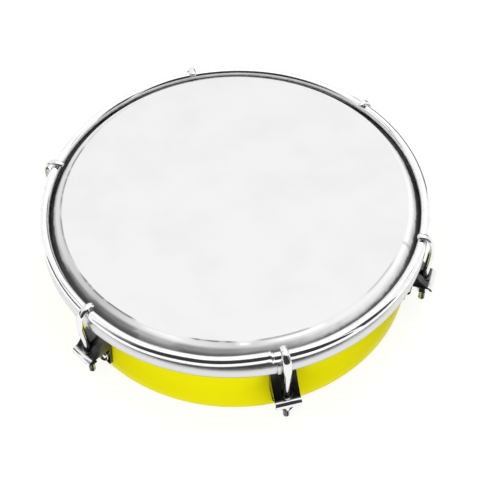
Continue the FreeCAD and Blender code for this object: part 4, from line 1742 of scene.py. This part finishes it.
@dataclass(frozen=True)
class FlagCloth(Finish):
    """Cloth of a flag, which keeps its shade in any light."""

    grey: float

    def paint(self, graph: Graph) -> None:
        """Give the cloth its own shade alone."""
        shade_only = graph.add("ShaderNodeEmission", {}, {"Color": (self.grey,) * 3, "Strength": 1.0})
        graph.add("ShaderNodeOutputMaterial", {}, {"Surface": shade_only})


def sphere_point(radius: float, bearing: float, rise: float, level: float = 0.0) -> Vector:
    """Point at a distance, a bearing and an elevation in degrees, lifted to a level."""
    turn, up = math.radians(bearing), math.radians(rise)
    return polar(radius * math.cos(up), turn, radius * math.sin(up) + level)


@dataclass(frozen=True)
class Lamp:
    """Soft square lamp that looks at the drum."""

    name: str
    bearing: float
    elevation: float
    watts: float
    size: float = 0.9
    mirrored: bool = False
    distance: float = 1.3
    aim: Triple = (0, 0, 0.03)

    def hang(self) -> None:
        """Hang the lamp and turn it to the drum."""
        data = bpy.data.lights.new(self.name, "AREA")
        data.size = self.size
        data.energy = self.watts
        item = bpy.data.objects.new(self.name, data)
        item.location = sphere_point(self.distance, self.bearing, self.elevation)
        item.visible_glossy = self.mirrored
        item.rotation_euler = (Vector(self.aim) - item.location).to_track_quat("-Z", "Y").to_euler()
        bpy.context.scene.collection.objects.link(item)


@dataclass
class Studio:
    """Camera, lamps, floor, world and the grey flags that the bright metal mirrors."""

    azimuth: float = -103.3
    elevation: float = 51.2487
    roll: float = -1.3487
    # Where the camera's view begins in metres, its focal length and picture width in pixels
    clip_start: float = 0.01
    focal_pixels: float = 1250.44
    picture: float = 500.0
    # The camera's sensor width, distance and shift in millimetres
    sensor: float = 36.0
    distance: float = 566.236
    shift: Pair = (-6.0184, 5.9943)
    world_light: float = 0.78
    floor_size: float = 6.0
    floor_level: float = -0.0003
    flag_radius: float = 1.6
    flag_lift: float = 0.03
    flag_steps: int = 24
    # Tall flags: first and last bearing, lowest and highest elevation, grey
    panels: tuple[tuple[float, float, float, float, float], ...] = (
        (-155.0, -48.0, -1.0, 70.0, 0.045), (-166.0, -155.0, 2.0, 64.0, 0.16),
        (-176.0, -166.0, 4.0, 58.0, 0.42), (-212.0, -182.0, 2.0, 24.0, 0.06),
        (-43.0, -22.0, -1.0, 52.0, 0.05), (28.0, 58.0, 2.0, 24.0, 0.05))
    bar_elevations: Pair = (66.0, 70.0)
    bar_half: float = 1.5
    bar_grey: float = 0.25
    # Dark ring on the floor: a painted shadow of the drum, seen only in reflections
    shadow_ring_radii: Pair = (0.078, 0.090)
    shadow_ring_level: float = 0.0001
    shadow_ring_grey: float = 0.02
    lamps: tuple[Lamp, ...] = (
        Lamp("overhead", 60.0, 70.0, 2.0, 1.1, True), Lamp("front_left", -140.0, 18.0, 7.4),
        Lamp("front_right", -60.0, 16.0, 6.2), Lamp("back_left", 150.0, 5.0, 4.8),
        Lamp("back_right", 40.0, 5.0, 4.8))

    def camera(self) -> None:
        """Stand the camera where the photograph was taken from."""
        turn, rise, roll = (math.radians(v) for v in (self.azimuth, self.elevation, self.roll))
        right = Vector((-math.sin(turn), math.cos(turn), 0.0))
        forward = Vector((-math.cos(turn) * math.cos(rise), -math.sin(turn) * math.cos(rise),
                          -math.sin(rise)))
        down = forward.cross(right)
        across = right * math.cos(roll) - down * math.sin(roll)
        below = right * math.sin(roll) + down * math.cos(roll)
        place = -(across * self.shift[0] + below * self.shift[1] + forward * self.distance) * MM
        data = bpy.data.cameras.new("view")
        data.sensor_width = self.sensor
        data.lens = self.focal_pixels / self.picture * self.sensor
        data.clip_start = self.clip_start
        camera = bpy.data.objects.new("view", data)
        camera.matrix_world = Matrix.Translation(place) @ Matrix(
            (across, -below, -forward)).transposed().to_4x4()
        bpy.context.scene.collection.objects.link(camera)
        bpy.context.scene.camera = camera

    def world(self) -> None:
        """White all round where it is seen, softer where it lights."""
        world = bpy.data.worlds.new("studio")
        bpy.context.scene.world = world
        world.use_nodes = True
        graph = Graph(world.node_tree)
        strength = graph.backdrop() * (1.0 - self.world_light) + self.world_light
        sky = graph.add("ShaderNodeBackground", {}, {"Color": WHITE, "Strength": strength})
        graph.add("ShaderNodeOutputWorld", {}, {"Surface": sky})

    def floor(self) -> None:
        """White floor that keeps the drum's shadow."""
        mesh = bmesh.new()
        bmesh.ops.create_grid(mesh, x_segments=1, y_segments=1, size=self.floor_size)
        floor = add_object("studio_floor", mesh, WhitePaper("white_floor").material())
        floor.location.z = self.floor_level

    def flag(self, name: str, rows: Sequence[Sequence[Vector]], grey: float) -> None:
        """Flag that only bright metal shows.

        Args:
            name: Name of the flag.
            rows: Rows of points, in metres.
            grey: Its shade.
        """
        mesh = bmesh.new()
        weave(mesh, [[mesh.verts.new(point) for point in row] for row in rows], wrap=False)
        flag = add_object(name, mesh, FlagCloth(f"flag_cloth_{round(grey * 1000)}", grey).material())
        flag.visible_camera = False
        flag.visible_diffuse = False
        flag.visible_shadow = False
        flag.visible_transmission = False

    def flags(self) -> None:
        """Tall flags round the drum, a high bar behind it and a dark ring on the floor, a painted shadow of
        the drum that only reflections show.
        """
        shares = [step / self.flag_steps for step in range(self.flag_steps + 1)]
        for number, (first, last, low, high, grey) in enumerate(self.panels, start=1):
            rows = [[sphere_point(self.flag_radius, first + (last - first) * along,
                                  low + (high - low) * up, self.flag_lift) for along in shares]
                    for up in shares]
            self.flag(f"tall_flag_{number}", rows, grey)
        far = self.azimuth + 180.0
        side = sphere_point(self.bar_half, far + 90.0, 0.0)
        bar = [[sphere_point(self.flag_radius, far, rise) + side * way for way in (-1, 1)]
               for rise in self.bar_elevations]
        self.flag("high_bar", bar, self.bar_grey)
        # Painted shadow: a dark ring round the drum's foot that only reflections show
        ring = [[sphere_point(radius, turn, 0.0, self.shadow_ring_level) for turn in range(361)]
                for radius in self.shadow_ring_radii]
        self.flag("painted_shadow_ring", ring, self.shadow_ring_grey)

    def build(self) -> None:
        """Set the whole studio."""
        bpy.context.scene.view_settings.view_transform = "Standard"
        self.camera()
        self.world()
        self.floor()
        self.flags()
        for lamp in self.lamps:
            lamp.hang()


def main() -> None:
    """Build the studio and the drum."""
    logging.basicConfig(level=logging.INFO, format="%(message)s")
    Studio().build()
    Shell().build()
    Head().build()
    FleshHoop().build()
    dress_node("head_bond", RESIN_FINISH)
    CounterHoop().build()
    for number in range(1, TUNER_COUNT + 1):
        Tuner(number).build()


if __name__ == "__main__":
    main()
